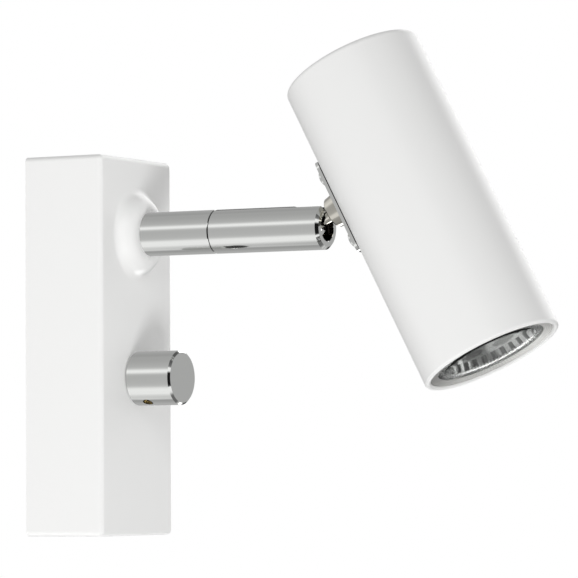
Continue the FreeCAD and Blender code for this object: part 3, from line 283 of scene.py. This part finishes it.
# zinc plate with yellow passivation, as on a grub screw: straw with a greenish bloom
yellowZinc = dict(zincPlate, colour="#c8a24e", straw="#a98f55", roughness=0.25, cloud=2.0)


def makeZinc(name, c):
    material, tree, shader = newMaterial(name, c, 1.0)
    cloud = grainNoise(tree, c["cloud"], "rough")
    varyColour(tree, shader, cloud, c["colour"], c["straw"])
    varyRoughness(tree, shader, cloud, c)
    addBump(tree, shader, grainNoise(tree, c["grain"]), c["grainDepth"])
    return material


# hardened spring steel: dark oiled grey, drawn lines along the wire
springSteel = dict(colour="#6b6d70", roughness=0.3, smoother=0.05, rougher=0.1, line=0.3,
                   lineLength=3.6, lineDepth=0.003)


def makeSpringSteel():
    c = springSteel
    material, tree, shader = newMaterial("oiledSpringSteel", c, 1.0)
    lines = grainNoise(tree, (c["lineLength"], c["line"], c["lineLength"]))
    varyRoughness(tree, shader, lines, c)
    addBump(tree, shader, lines, c["lineDepth"])
    return material


# turned brass, left bare: yellow with tool rings and a slightly browner bloom
turnedBrass = dict(colour="#c9a85c", bloom="#b4904a", roughness=0.27, smoother=0.05, rougher=0.08,
                   cloud=4.0, ring=0.22, ringLength=30.0, ringDepth=0.004)


def makeBrass():
    c = turnedBrass
    material, tree, shader = newMaterial("turnedBrass", c, 1.0)
    varyColour(tree, shader, grainNoise(tree, c["cloud"], "rough"), c["colour"], c["bloom"])
    rings = grainNoise(tree, (c["ringLength"], c["ring"], c["ringLength"]))
    varyRoughness(tree, shader, rings, c)
    addBump(tree, shader, rings, c["ringDepth"])
    return material


# extruded aluminium, machined: soft grey with fine turning lines
machinedAlloy = dict(colour="#c4c6c9", roughness=0.32, smoother=0.06, rougher=0.06, line=0.2,
                     lineLength=25.0, lineDepth=0.003)


def makeAlloy():
    c = machinedAlloy
    material, tree, shader = newMaterial("machinedAluminium", c, 1.0)
    lines = grainNoise(tree, (c["lineLength"], c["line"], c["lineLength"]))
    varyRoughness(tree, shader, lines, c)
    addBump(tree, shader, lines, c["lineDepth"])
    return material


# moulded EPDM rubber: near black, dull, dusted with a paler bloom
mouldedRubber = dict(colour="#1c1c1c", bloom="#262625", roughness=0.72, cloud=6.0, grain=0.6,
                     grainDepth=0.02)


def makeRubber():
    c = mouldedRubber
    material, tree, shader = newMaterial("mouldedRubber", c)
    varyColour(tree, shader, grainNoise(tree, c["cloud"]), c["colour"], c["bloom"])
    addBump(tree, shader, grainNoise(tree, c["grain"], "rough"), c["grainDepth"])
    return material


# injection-moulded polyamide: off-white, faintly cloudy, spark-eroded matt skin
mouldedPolyamide = dict(colour="#e6e5df", cloudColour="#dedcd4", roughness=0.5, smoother=0.05,
                        rougher=0.08, cloud=9.0, skin=0.35, skinDepth=0.012)
# phenolic switch casing: near-black, a little glossier, the same eroded skin
mouldedPhenolic = dict(mouldedPolyamide, colour="#2a2b2e", cloudColour="#303134", roughness=0.42,
                       skin=0.3)
# machined acetal of the friction parts: black, waxy
blackAcetal = dict(mouldedPolyamide, colour="#141414", cloudColour="#1a1a19", roughness=0.36,
                   skin=0.25)


def makeMoulding(name, c):
    material, tree, shader = newMaterial(name, c)
    varyColour(tree, shader, grainNoise(tree, c["cloud"]), c["colour"], c["cloudColour"])
    skin = grainNoise(tree, c["skin"], "soft")
    varyRoughness(tree, shader, skin, c)
    addBump(tree, shader, skin, c["skinDepth"])
    return material


# extruded silicone insulation: smooth, with faint draw lines. The leads in the box are brown, green
# or blue by their side, parted at middleHalf from the middle; those on the hot side are white
siliconeCover = dict(colour="#e8e6df", left="#6b3f25", middle="#4f8a3c", right="#2f5f9e",
                     middleHalf=4.0, roughness=0.38, smoother=0.06, rougher=0.06, draw=0.4,
                     drawLength=6.0, drawDepth=0.01)


def makeLeadCover():
    # brown for x below the middle stretch, blue above it, green between: the stretch is the middle
    # half of the ramp, from a quarter to three quarters
    c = siliconeCover
    material, tree, shader = newMaterial("extrudedSilicone", c)
    side = addNode(tree, "ShaderNodeSeparateXYZ", {0: ownPoint(tree)}).outputs[0]
    reach = c["middleHalf"] * mm
    ramp = addNode(tree, "ShaderNodeValToRGB", {0: spread(tree, side, -2 * reach, 2 * reach)})
    ramp.color_ramp.interpolation = "CONSTANT"
    stops = ramp.color_ramp.elements
    stops[0].color = linear(c["left"])
    stops[1].position, stops[1].color = 0.25, linear(c["middle"])
    stops.new(0.75).color = linear(c["right"])
    tree.links.new(ramp.outputs[0], shader.inputs["Base Color"])
    varyRoughness(tree, shader, grainNoise(tree, (c["draw"], c["draw"], c["drawLength"])), c)
    return material


def makeHeatLeadCover():
    c = siliconeCover
    material, tree, shader = newMaterial("whiteSilicone", c)
    draw = grainNoise(tree, (c["draw"], c["draw"], c["drawLength"]))
    varyRoughness(tree, shader, draw, c)
    addBump(tree, shader, draw, c["drawDepth"])
    return material


# pressed steatite ceramic: warm white, dry, finely pitted
steatite = dict(colour="#e4dfd2", shade="#d8d1c1", roughness=0.62, cloud=5.0, pit=0.35,
                pitDepth=0.03)


def makeCeramic():
    c = steatite
    material, tree, shader = newMaterial("pressedSteatite", c)
    varyColour(tree, shader, grainNoise(tree, c["cloud"], "rough"), c["colour"], c["shade"])
    addBump(tree, shader, grainNoise(tree, c["pit"], "rough"), c["pitDepth"])
    return material


# aluminium evaporated on pressed glass: part mirror, part milky haze; the shade is a facet's own
# shadow side
mirrorCoat = dict(colour="#f0f1f0", shade="#1b1c1a", roughness=0.05, smoother=0.0, rougher=0.05,
                  metallic=0.35, haze=3.0)


def makeMirror():
    c = mirrorCoat
    material, tree, shader = newMaterial("evaporatedAluminium", c, c["metallic"])
    varyRoughness(tree, shader, grainNoise(tree, c["haze"]), c)
    mixByTone(tree, shader, c["shade"], c["colour"])
    return material


# rolled aluminium ring, satin anodised, its grooves and radial hatch painted dark as shade
ringPolish = dict(colour="#cfcfcc", groove="#2c2c2a", roughness=0.38, smoother=0.04, rougher=0.06,
                  metallic=0.9, line=0.2)


def makeRingPolish():
    c = ringPolish
    material, tree, shader = newMaterial("anodisedRingAluminium", c, c["metallic"])
    varyRoughness(tree, shader, grainNoise(tree, c["line"]), c)
    mixByTone(tree, shader, c["groove"], c["colour"])
    return material


# pressed soda glass: clear, with a slight waviness
clearGlass = dict(colour="#fbfcfb", roughness=0.0, ior=1.5, wave=5.0, waveDepth=0.01)


def makeGlass():
    c = clearGlass
    material, tree, shader = newMaterial("pressedGlass", c)
    shader.inputs["Transmission Weight"].default_value = 1.0
    shader.inputs["IOR"].default_value = c["ior"]
    addBump(tree, shader, grainNoise(tree, c["wave"], "smooth"), c["waveDepth"])
    return material


# drawn tungsten wire: dark grey metal
tungsten = dict(colour="#7d7a76", roughness=0.45, smoother=0.1, rougher=0.1, line=0.15)


def makeTungsten():
    c = tungsten
    material, tree, shader = newMaterial("drawnTungsten", c, 1.0)
    varyRoughness(tree, shader, grainNoise(tree, c["line"]), c)
    return material


# where painted shade darkens the coat and the plating, in mm: the tube's bore, the sleeve's socket
# and slot, and a dark shadow line painted in the seam between saddle and tube
paintedShadeEdges = dict(tubeBoreShade=27.32, boreFront=-85.9, boreFrontSoft=0.1, boreEnd=47.6, socket=7.4,
                 sleeveEnd=-127.8, slotHalf=3.3, slotFloor=50.0, saddleSeamShade=30.4)


def tubeBoreShade(tree):
    # painted shade: within the bore's radius, beyond its first millimetre and up to the closed end
    e = paintedShadeEdges
    level = levelAlong(tree, tubeFoot, tubeAxis)[1]
    front = above(tree, level, e["boreFront"], e["boreFrontSoft"])
    deep = scalarMath(tree, "MULTIPLY", front, below(tree, level, e["boreEnd"]))
    within = below(tree, radiusAbout(tree, tubeFoot, tubeAxis), e["tubeBoreShade"])
    return scalarMath(tree, "MULTIPLY", deep, within)


def saddleSeamShade(tree):
    # the part of the saddle's edge that lies nearest the tube, painted dark as a shadow line in the seam
    return below(tree, radiusAbout(tree, tubeFoot, tubeAxis), paintedShadeEdges["saddleSeamShade"])


def socketAndSlotShade(tree):
    # painted shade: inside the socket's radius behind the end face, or between the slot's walls above its floor
    e = paintedShadeEdges
    x, y, z = addNode(tree, "ShaderNodeSeparateXYZ", {0: ownPoint(tree)}).outputs
    within = below(tree, radiusAbout(tree, ballCentre, (0, 1, 0)), e["socket"])
    socket = scalarMath(tree, "MULTIPLY", above(tree, y, e["sleeveEnd"]), within)
    across = below(tree, scalarMath(tree, "ABSOLUTE", x), e["slotHalf"])
    slot = scalarMath(tree, "MULTIPLY", across, above(tree, z, e["slotFloor"]))
    return scalarMath(tree, "MAXIMUM", socket, slot)


finishes = {
    "box_coat": makePowderCoat("powderCoatedSteel", powderCoat),
    "tube_coat": makePowderCoat("powderCoatedAluminium", shadedTubeCoat, tubeBoreShade),
    "chrome_plate": makeChrome("chromePlatedBrass", chromePlate),
    "zinc_steel": makeZinc("zincPlatedSteel", zincPlate),
    "spring_steel": makeSpringSteel(),
    "turned_brass": makeBrass(),
    "shaft_alloy": makeAlloy(),
    "grommet_rubber": makeRubber(),
    "block_plastic": makeMoulding("mouldedPolyamide", mouldedPolyamide),
    "dimmer_plastic": makeMoulding("mouldedPhenolic", mouldedPhenolic),
    "lead_cover": makeLeadCover(),
    "holder_ceramic": makeCeramic(),
    "reflector_mirror": makeMirror(),
    "ring_alloy": makeRingPolish(),
    "lamp_glass": makeGlass(),
}
whiteLeads = makeHeatLeadCover()
# parts whose look differs from the rest of their slot
ownLooks = {
    "arm_leads": whiteLeads,
    "lamp_leads": whiteLeads,
    "arm_sleeve": makeChrome("chromePlatedSocket", chromePlate, socketAndSlotShade),
    "saddle_plate": makeChrome("chromePlatedSaddle", chromePlate, saddleSeamShade),
    "ball_stem": makeChrome("nickelPlatedStem", nickelPlate),
    "swivel_washer": makeMoulding("blackAcetal", blackAcetal),
    "ball_seat": makeMoulding("blackAcetalSeat", blackAcetal),
    "knob_grub_screw": makeZinc("yellowZincSteel", yellowZinc),
}
# pieces of the wall box have their middle nearer the wall than this, in mm
boxReach = -44.9


def setMaterial(name, material):
    data = nodes[name].data
    data.materials.clear()
    data.materials.append(material)


for part in record["subparts"]:
    setMaterial(part["node"], finishes[part["material_slot"]])
for name, material in ownLooks.items():
    setMaterial(name, material)
# the photographed chrome shows the studio and neither the box behind it nor the tube, so
# reflections pass them
for name, node in nodes.items():
    corners = [node.matrix_world @ Vector(corner) for corner in node.bound_box]
    middle = sum(corners, Vector()) / len(corners)
    if name == "lamp_tube" or middle.y > boxReach * mm:
        node.visible_glossy = False
print("finishes set on", len(record["subparts"]), "nodes")


# Surfaces from numpy grids

weldDistance = 1e-7  # in metres: points nearer than this are one


def gridPiece(name, grids, material, body, replaced=None, sharp=30.0, tone=None):
    # grids of points, rows by columns by 3, closed along the columns: quads join neighbouring rows
    # and columns, and points that coincide at poles and seams are merged; a tone per point is kept
    # as an attribute
    mesh = bpy.data.meshes.new(name)
    points, faces, count = [], [], 0
    for grid in grids:
        rows, columns = grid.shape[:2]
        index = count + np.arange(rows * columns).reshape(rows, columns)
        after = np.roll(index, -1, axis=1)
        faces.append(np.stack([index[:-1], after[:-1], after[1:], index[1:]], -1).reshape(-1, 4))
        points.append(grid.reshape(-1, 3))
        count += rows * columns
    mesh.from_pydata(np.concatenate(points).tolist(), [], np.concatenate(faces).tolist())
    if tone is not None:
        mesh.attributes.new("tone", "FLOAT", "POINT").data.foreach_set("value", tone.ravel())
    work = bmesh.new()
    work.from_mesh(mesh)
    bmesh.ops.remove_doubles(work, verts=work.verts, dist=weldDistance)
    bmesh.ops.recalc_face_normals(work, faces=work.faces)
    work.to_mesh(mesh)
    work.free()
    mesh.shade_smooth()
    mesh.set_sharp_from_angle(angle=math.radians(sharp))
    mesh.materials.append(material)
    piece = bpy.data.objects.new(name, mesh)
    bpy.context.scene.collection.objects.link(piece)
    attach(piece, body)
    if replaced:
        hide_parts(replaced)


def turnAngles(steps):
    return np.linspace(0, 2 * np.pi, steps, endpoint=False)


def lathe(profile, steps):
    # each profile point, a radius and a level, is carried round the axis
    radius, level = np.asarray(profile, float).T[:, :, None]
    turn = turnAngles(steps)
    return np.stack([radius * np.cos(turn), radius * np.sin(turn), level + 0 * turn], -1)


def tubeAlong(path, radius, sides):
    # circle of the radius set square to the path: tangent by differences, side by a fixed reference
    # that no wire here runs along
    tangent = np.gradient(path, axis=0)
    tangent /= np.linalg.norm(tangent, axis=1, keepdims=True)
    reference = np.array([0.31, 0.17, 0.93])
    side = np.cross(tangent, reference)
    side /= np.linalg.norm(side, axis=1, keepdims=True)
    other = np.cross(tangent, side)
    turn = turnAngles(sides)
    ring = side[:, None] * np.cos(turn)[:, None] + other[:, None] * np.sin(turn)[:, None]
    grid = path[:, None] + radius * ring
    ends = [np.repeat(path[[k]][None], sides, axis=1) for k in (0, -1)]
    return np.concatenate([ends[0], grid, ends[1]])


def onHead(grid):
    # from the head's own axes, in mm, to the frame
    return tubeFoot + grid * mm @ headAxes


# the lamp's sizes as in the solids, in mm. seatGap, burnerGap: clearance round glass and capsule
lampSizes = dict(radius=25.2, ringWall=0.8, lip=0.9, edge=0.4, ringDepth=5.0, glass=1.5, mouth=22.7,
                 throat=8.5, depth=24.0, wall=1.6, burner=4.5, burnerLength=14.0, seatGap=0.02,
                 burnerGap=0.05)
# levels along the tube's axis, from the lamp's front edge inwards: the back of the glass and the
# bowl's throat
glassBack = headPlace["lampFront"] + lampSizes["edge"] + lampSizes["glass"]
throatLevel = glassBack + lampSizes["depth"]
# what sits in the ring's wall reaches this far out
seatRadius = lampSizes["radius"] - lampSizes["ringWall"] - lampSizes["seatGap"]


# Front ring: rolled lip whose flange almost fills the tube's bore, with fine concentric ridges, their
# hollows painted dark as shade, and a fine radial hatch of painted shade lines
frontRing = dict(flange=27.1, flangeDepth=1.0, cone=0.9, lipEdge=0.15, ridges=5, ridgeSteps=8,
                 ridgeRise=0.05, groove=0.6, hatch=120, hatchShade=0.35, steps=720)
glassFront = headPlace["lampFront"] + frontRing["cone"] + frontRing["lipEdge"]


def makeFrontRing():
    # level of the face = front + a cone that sinks towards the glass + a squared sine per ridge,
    # painted dark as shade where deepest; a second squared sine round the ring is a hatch of shade
    s, c = lampSizes, frontRing
    front, outer = headPlace["lampFront"], s["radius"]
    inner = outer - s["ringWall"]
    lip = inner - s["lip"]
    share = np.linspace(0, 1, c["ridgeSteps"] * c["ridges"] + 1)
    wave = np.sin(math.pi * c["ridges"] * share) ** 2
    level = front + c["cone"] * (1 - share) + c["ridgeRise"] * wave
    face = np.stack([lip + (c["flange"] - lip) * share, level], 1)
    back, step = front + s["ringDepth"], front + c["flangeDepth"]
    rest = [(c["flange"], step), (outer, step), (outer, back), (inner, back), (inner, glassFront),
            (lip, glassFront), face[0]]
    tone = np.concatenate([1 - c["groove"] * wave, np.ones(len(rest))])
    hatch = 1 - c["hatchShade"] * np.sin(c["hatch"] / 2 * turnAngles(c["steps"])) ** 2
    grid = lathe(np.concatenate([face, rest]), c["steps"])
    gridPiece("frontRing", [onHead(grid)], finishes["ring_alloy"], "head",
              "lamp_ring", tone=tone[:, None] * hatch)


# Front glass: flat pane with fine pressed ribs near its edge
frontGlass = dict(plainRadii=(0, 5, 10, 15), ribFrom=20.2, ribPitch=0.62, ribSteps=8, ribRise=0.07,
                  steps=180)


def makeFrontGlass():
    # back face = flat level less a squared sine of the radius beyond ribFrom; front face flat
    c = frontGlass
    ribbed = np.arange(c["ribFrom"], seatRadius, c["ribPitch"] / c["ribSteps"])
    radii = np.concatenate([c["plainRadii"], ribbed, [seatRadius]])
    wave = np.sin(np.pi * np.clip(radii - c["ribFrom"], 0, None) / c["ribPitch"]) ** 2
    front = np.stack([radii, glassFront + 0 * radii], 1)
    back = np.stack([radii, glassBack - c["ribRise"] * wave], 1)[::-1]
    pane = lathe(np.concatenate([front, back]), c["steps"])
    gridPiece("frontGlass", [onHead(pane)], finishes["lamp_glass"], "head",
              "lamp_glass")


# Reflector: bowl of pressed facets in rows. start and end are depths behind the glass in mm, count
# the facets round, dish how deep each is hollowed, shade how dark its painted shadow side is and
# mouth the row's own front radius; the wide row has dark ovals painted in as shade, not facets
bowlRows = (
    dict(start=0.0, end=1.9, count=96, dish=0.1, shade=0.65, mouth=24.2),
    dict(start=1.9, end=4.6, count=32, dish=0.38, shade=0.75),
    dict(start=4.6, end=4.9, count=32, dish=0.0, shade=0.0),
    dict(start=4.9, end=8.1, count=8, dish=0.0, shade=0.0, ovals=0.5),
    dict(start=8.1, end=12.5, count=32, dish=0.28, shade=0.3),
    dict(start=12.5, end=18.0, count=32, dish=0.24, shade=0.3),
    dict(start=18.0, end=24.0, count=16, dish=0.2, shade=0.3),
)
# ovalLength and ovalHeight are shares of an oval's place round and along its row, ovalEdge and
# ovalFade the size at which its dark ends and the width of that end, shadeSlope how fast a facet's
# shadow side begins
bowlMesh = dict(columns=1024, rowSteps=9, backSteps=16, sharp=25.0, shadeSlope=3, ovalLength=0.36,
                ovalHeight=0.40, ovalEdge=1.08, ovalFade=0.16)


def bowlRadius(share):
    # square root of a straight run from throat squared at 0 to mouth squared at 1
    mouth, throat = lampSizes["mouth"], lampSizes["throat"]
    return np.sqrt(throat ** 2 + (mouth ** 2 - throat ** 2) * share)


def bowlRow(row, turn):
    # radius = the bowl's, or a cone from the row's own mouth, plus a parabola across each facet;
    # tone = 1 less the shade over one half of a facet, or less the ovals' dark where the distance
    # from an oval's middle is small
    b = bowlMesh
    along = np.linspace(0, 1, b["rowSteps"])[:, None]
    depth = row["start"] + (row["end"] - row["start"]) * along
    base = bowlRadius(1 - depth / lampSizes["depth"])
    if "mouth" in row:
        base = row["mouth"] + (base[-1] - row["mouth"]) * along
    across = np.mod(turn * row["count"] / (2 * np.pi) + 0.5, 1.0) * 2 - 1
    radius = base + row["dish"] * (1 - across ** 2)
    level = glassBack + depth + 0 * turn
    grid = np.stack([radius * np.cos(turn), radius * np.sin(turn), level], -1)
    shaded = np.clip(0.5 - across * b["shadeSlope"], 0, 1) * row["shade"] + 0 * along
    if "ovals" in row:
        away = np.hypot(across / (2 * b["ovalLength"]), (along - 0.5) / b["ovalHeight"])
        shaded = row["ovals"] * np.clip((b["ovalEdge"] - away) / b["ovalFade"], 0, 1)
    return grid, 1 - shaded


def makeReflectorBowl():
    # rows of facets from the glass to the throat, then the smooth back of the bowl, one wall
    # further out, and its rim in the ring
    s, b = lampSizes, bowlMesh
    rows, tones = zip(*(bowlRow(row, turnAngles(b["columns"])) for row in bowlRows))
    share = np.linspace(0, 1, b["backSteps"])
    outer = bowlRadius(share) + s["wall"]
    hole, back, rim = s["burner"] + s["burnerGap"], throatLevel + s["wall"], glassBack + s["wall"]
    slope = [(r, throatLevel - s["depth"] * t) for r, t in zip(outer, share)]
    profile = [(hole, throatLevel), (hole, back), (outer[0], back)]
    profile += [point for point in slope if point[1] > rim]
    profile += [(outer[-1], rim), (seatRadius, rim), (seatRadius, glassBack)]
    shell = lathe(profile, b["columns"])
    grid = np.concatenate(rows + (shell, rows[0][:1]))
    tone = np.concatenate(tones + (np.ones(shell.shape[:2]), tones[0][:1]))
    gridPiece("reflectorBowl", [onHead(grid)], finishes["reflector_mirror"], "head",
              "lamp_reflector", b["sharp"], tone)


# Light source: quartz capsule with its filament coil and two support wires, in mm. coilRise is how
# far the coil lies beyond the tip's round, supportOut and supportIn how far from the axis and short
# of the foot a support ends
burnerShape = dict(sides=64, noseSteps=13, coilTurns=11, coilRadius=0.75, coilLength=5.2,
                   coilRise=1.2, coilSteps=16, wire=0.11, wireSides=8, supportOut=1.9,
                   supportIn=0.4, support=0.22, supportSteps=12, supportSides=10, sharp=60.0)


def makeBurner():
    # capsule profile: quarter circle at the tip, straight wall; coil: helix across the axis;
    # supports: straight runs from the coil's ends to the foot
    s, c = lampSizes, burnerShape
    tip, back, radius = throatLevel - s["burnerLength"], throatLevel + s["wall"], s["burner"]
    bend = np.linspace(0, np.pi / 2, c["noseSteps"])
    nose = [(radius * math.sin(b), tip + radius * (1 - math.cos(b))) for b in bend]
    capsule = lathe(nose + [(radius, back), (0, back)], c["sides"])
    gridPiece("quartzCapsule", [onHead(capsule)], finishes["lamp_glass"], "head",
              "lamp_burner")
    turn = np.linspace(0, 2 * np.pi * c["coilTurns"], c["coilTurns"] * c["coilSteps"])
    across = np.linspace(-c["coilLength"] / 2, c["coilLength"] / 2, len(turn))
    level = tip + radius + c["coilRise"]
    sideways, up = c["coilRadius"] * np.cos(turn), level + c["coilRadius"] * np.sin(turn)
    coil = tubeAlong(np.stack([across, sideways, up], -1), c["wire"], c["wireSides"])
    supports = []
    for side in (-1, 1):
        run = np.linspace(0, 1, c["supportSteps"])[:, None]
        start = np.array([side * c["coilLength"] / 2, c["coilRadius"], level])
        stop = np.array([side * c["supportOut"], 0, back - c["supportIn"]])
        support = tubeAlong(start + (stop - start) * run, c["support"], c["supportSides"])
        supports.append(onHead(support))
    gridPiece("filamentCoil", [onHead(coil)], makeTungsten(), "head",
              sharp=c["sharp"])
    gridPiece("filamentSupports", supports, finishes["spring_steel"], "head",
              sharp=c["sharp"])


makeFrontRing()
makeFrontGlass()
makeReflectorBowl()
makeBurner()
print("lamp dressed")


# Studio: a pale floor far below, white for what the camera sees, soft lights, and for polished
# metal a set of softboxes and black cards laid out by direction. Lengths in metres; paneGain is how
# much brighter the studio is for rays that have passed glass
studio = dict(floorDrop=1.1, floorSize=8.0, worldLevel=0.44, paneGain=2.4)
# matt painted board
paleBoard = dict(colour="#f2f2f2", roughness=0.9)
# soft lights: direction from their shared aim, distance and width in metres, and power in watts
lightAim = (0, -0.09, 0)
softLights = dict(
    keyLow=dict(towards=(-0.54, -0.62, -0.55), distance=1.4, size=0.6, power=8.3),
    keyHigh=dict(towards=(-0.84, -0.30, 0.46), distance=1.4, size=0.7, power=5.0),
    rightSide=dict(towards=(0.88, -0.10, 0.46), distance=1.4, size=0.8, power=4.2),
    wallSide=dict(towards=(-0.42, 0.80, -0.42), distance=1.4, size=1.0, power=6.0),
)
# grey levels that polished metal sees by the height of the direction, -1 straight down and 1
# straight up: the softboxes on the camera's side, the plain tones behind and to the right, and the
# front with its black cards, left and right
glossBands = (
    (-1.0, 0.42), (-0.89, 0.52), (-0.86, 0.78), (-0.82, 0.98), (-0.68, 1.0), (-0.60, 0.90),
    (-0.53, 0.68), (-0.45, 0.58), (-0.30, 0.54), (0.0, 0.52), (0.16, 0.53), (0.24, 0.62),
    (0.33, 0.92), (0.41, 1.05), (0.49, 0.90), (0.56, 0.64), (0.64, 0.53), (0.78, 0.48), (1.0, 0.38),
)
rearTones = ((-1.0, 0.30), (-0.6, 0.48), (0.0, 0.46), (0.5, 0.45), (1.0, 0.36))
frontLeft = (
    (-1.0, 0.05), (-0.88, 0.05), (-0.83, 0.14), (-0.76, 0.12), (-0.69, 0.9), (-0.62, 1.0),
    (-0.46, 1.0), (-0.42, 0.10), (-0.36, 0.012), (0.0, 0.01), (0.24, 0.012), (0.29, 0.4),
    (0.34, 1.0), (0.48, 1.0), (0.54, 0.22), (0.7, 0.12), (1.0, 0.10),
)
frontRight = (
    (-1.0, 0.05), (-0.88, 0.05), (-0.83, 0.16), (-0.76, 0.16), (-0.69, 0.7), (-0.48, 0.75),
    (-0.40, 0.24), (0.0, 0.18), (0.26, 0.2), (0.34, 0.75), (0.48, 0.75), (0.54, 0.2), (0.7, 0.12),
    (1.0, 0.10),
)
# where these parts of the studio fade into each other, as components of the direction: x to the
# right along the wall, -y away from the wall. steep is the height over which the front grows by
# widening
fades = dict(rear=(0.08, 0.30), steep=(0.52, 0.68), widening=0.42, ahead=(-0.50, -0.70),
             left=(-0.86, -0.74), right=(0.50, 0.28), sides=(-0.22, 0.02))
# single lit or black spots: from the cosine at their edge to the one where they are full
spots = dict(
    rightBox=dict(towards=(0.93, -0.02, 0.37), near=0.90, full=0.965, level=2.2),
    lowCard=dict(towards=(0.95, 0.163, -0.266), near=0.965, full=0.988, level=0.05),
    frontBox=dict(towards=(0.40, -0.91, 0.08), near=0.93, full=0.975, level=1.4),
    lowBox=dict(towards=(0.70, 0.06, -0.71), near=0.95, full=0.985, level=3.4),
)


def sheenRay(tree, path):
    # 1 for reflected and refracted rays
    return scalarMath(tree, "MAXIMUM", path["Is Glossy Ray"], path["Is Transmission Ray"])


def makeFloor():
    # square of the floor's size. Reflected and refracted rays pass it, so that metal sees the lower
    # softbox, and from below it is clear
    half, low = studio["floorSize"] / 2, -studio["floorDrop"]
    mesh = bpy.data.meshes.new("floor")
    corners = [(-half, -half, low), (half, -half, low), (half, half, low), (-half, half, low)]
    mesh.from_pydata(corners, [], [(0, 1, 2, 3)])
    floor = bpy.data.objects.new("floor", mesh)
    bpy.context.scene.collection.objects.link(floor)
    material, tree, shader = newMaterial("paleFloor", paleBoard)
    sheen = sheenRay(tree, addNode(tree, "ShaderNodeLightPath").outputs)
    under = addNode(tree, "ShaderNodeNewGeometry").outputs["Backfacing"]
    passes = scalarMath(tree, "MAXIMUM", sheen, under)
    clear = addNode(tree, "ShaderNodeBsdfTransparent").outputs[0]
    mix = addNode(tree, "ShaderNodeMixShader", {0: passes, 1: shader.outputs[0], 2: clear})
    tree.links.new(mix.outputs[0], tree.nodes["Material Output"].inputs["Surface"])
    mesh.materials.append(material)


def addTones(tree, height, tones):
    # grey ramp over the height of the direction, from -1 to 1
    ramp = addNode(tree, "ShaderNodeValToRGB", {0: spread(tree, height, -1.0, 1.0)})
    stops = ramp.color_ramp.elements
    stops[0].color, stops[1].color = grey(tones[0][1]), grey(tones[-1][1])
    for place, tone in tones[1:-1]:
        stops.new((place + 1) / 2).color = grey(tone)
    return ramp.outputs[0]


def studioTones(tree):
    # the tones of every direction: bands that fade to plain tones behind and to the right, then the
    # front part with its black cards, then the single spots, each mixed in by its mask
    direction = addNode(tree, "ShaderNodeTexCoord").outputs["Generated"]
    x, y, z = addNode(tree, "ShaderNodeSeparateXYZ", {0: direction}).outputs
    smooth = dict(interpolation_type="SMOOTHSTEP")
    rear = spread(tree, x, *fades["rear"], **smooth)
    tones = mixColours(tree, rear, addTones(tree, z, glossBands), addTones(tree, z, rearTones))
    # the front reaches further out where the direction is steep, above and below the softboxes
    steep = scalarMath(tree, "ABSOLUTE", z)
    wider = spread(tree, steep, *fades["steep"], 0.0, fades["widening"], **smooth)
    ahead = spread(tree, scalarMath(tree, "SUBTRACT", y, wider), *fades["ahead"], **smooth)
    fromLeft = spread(tree, x, *fades["left"], **smooth)
    toRight = spread(tree, scalarMath(tree, "SUBTRACT", x, wider), *fades["right"], **smooth)
    front = scalarMath(tree, "MULTIPLY", scalarMath(tree, "MULTIPLY", fromLeft, toRight), ahead)
    sides = spread(tree, x, *fades["sides"], **smooth)
    cards = mixColours(tree, sides, addTones(tree, z, frontLeft), addTones(tree, z, frontRight))
    tones = mixColours(tree, front, tones, cards)
    for spot in spots.values():
        near = vectorMath(tree, "DOT_PRODUCT", direction, spot["towards"], output="Value")
        share = spread(tree, near, spot["near"], spot["full"], **smooth)
        tones = mixColours(tree, share, tones, grey(spot["level"]))
    return tones


def makeWorld():
    # white for the camera, the studio's tones for reflected and refracted rays, and one grey level
    # of light for the rest
    world = bpy.data.worlds.new("studio")
    bpy.context.scene.world = world
    world.use_nodes = True
    tree = world.node_tree
    path = addNode(tree, "ShaderNodeLightPath").outputs
    # a pane seen this flat takes over half the light on its way in and out, so what lies behind it
    # sees more
    more = studio["paneGain"] - 1
    gain = scalarMath(tree, "MULTIPLY_ADD", path["Is Transmission Ray"], more, 1.0)
    tones = scaled(tree, studioTones(tree), gain)
    light = mixColours(tree, sheenRay(tree, path), grey(studio["worldLevel"]), tones)
    shown = mixColours(tree, path["Is Camera Ray"], light, grey(1.0))
    ground = tree.nodes["Background"]
    tree.links.new(shown, ground.inputs["Color"])
    ground.inputs["Strength"].default_value = 1.0


def addSoftLight(name, towards, distance, size, power):
    # round area light at the distance from the shared aim, facing it. Camera, metal and glass don't
    # see it: they see the world's softboxes instead
    data = bpy.data.lights.new(name, "AREA")
    data.shape = "DISK"
    data.size = size
    data.energy = power
    light = bpy.data.objects.new(name, data)
    bpy.context.scene.collection.objects.link(light)
    aim = Vector(towards).normalized()
    light.location = Vector(lightAim) + aim * distance
    light.rotation_euler = aim.to_track_quat("Z", "Y").to_euler()
    light.visible_camera = False
    light.visible_glossy = False
    light.visible_transmission = False


makeFloor()
makeWorld()
for name, light in softLights.items():
    addSoftLight(name, **light)
bpy.context.scene.view_settings.view_transform = "Standard"
print("studio set")
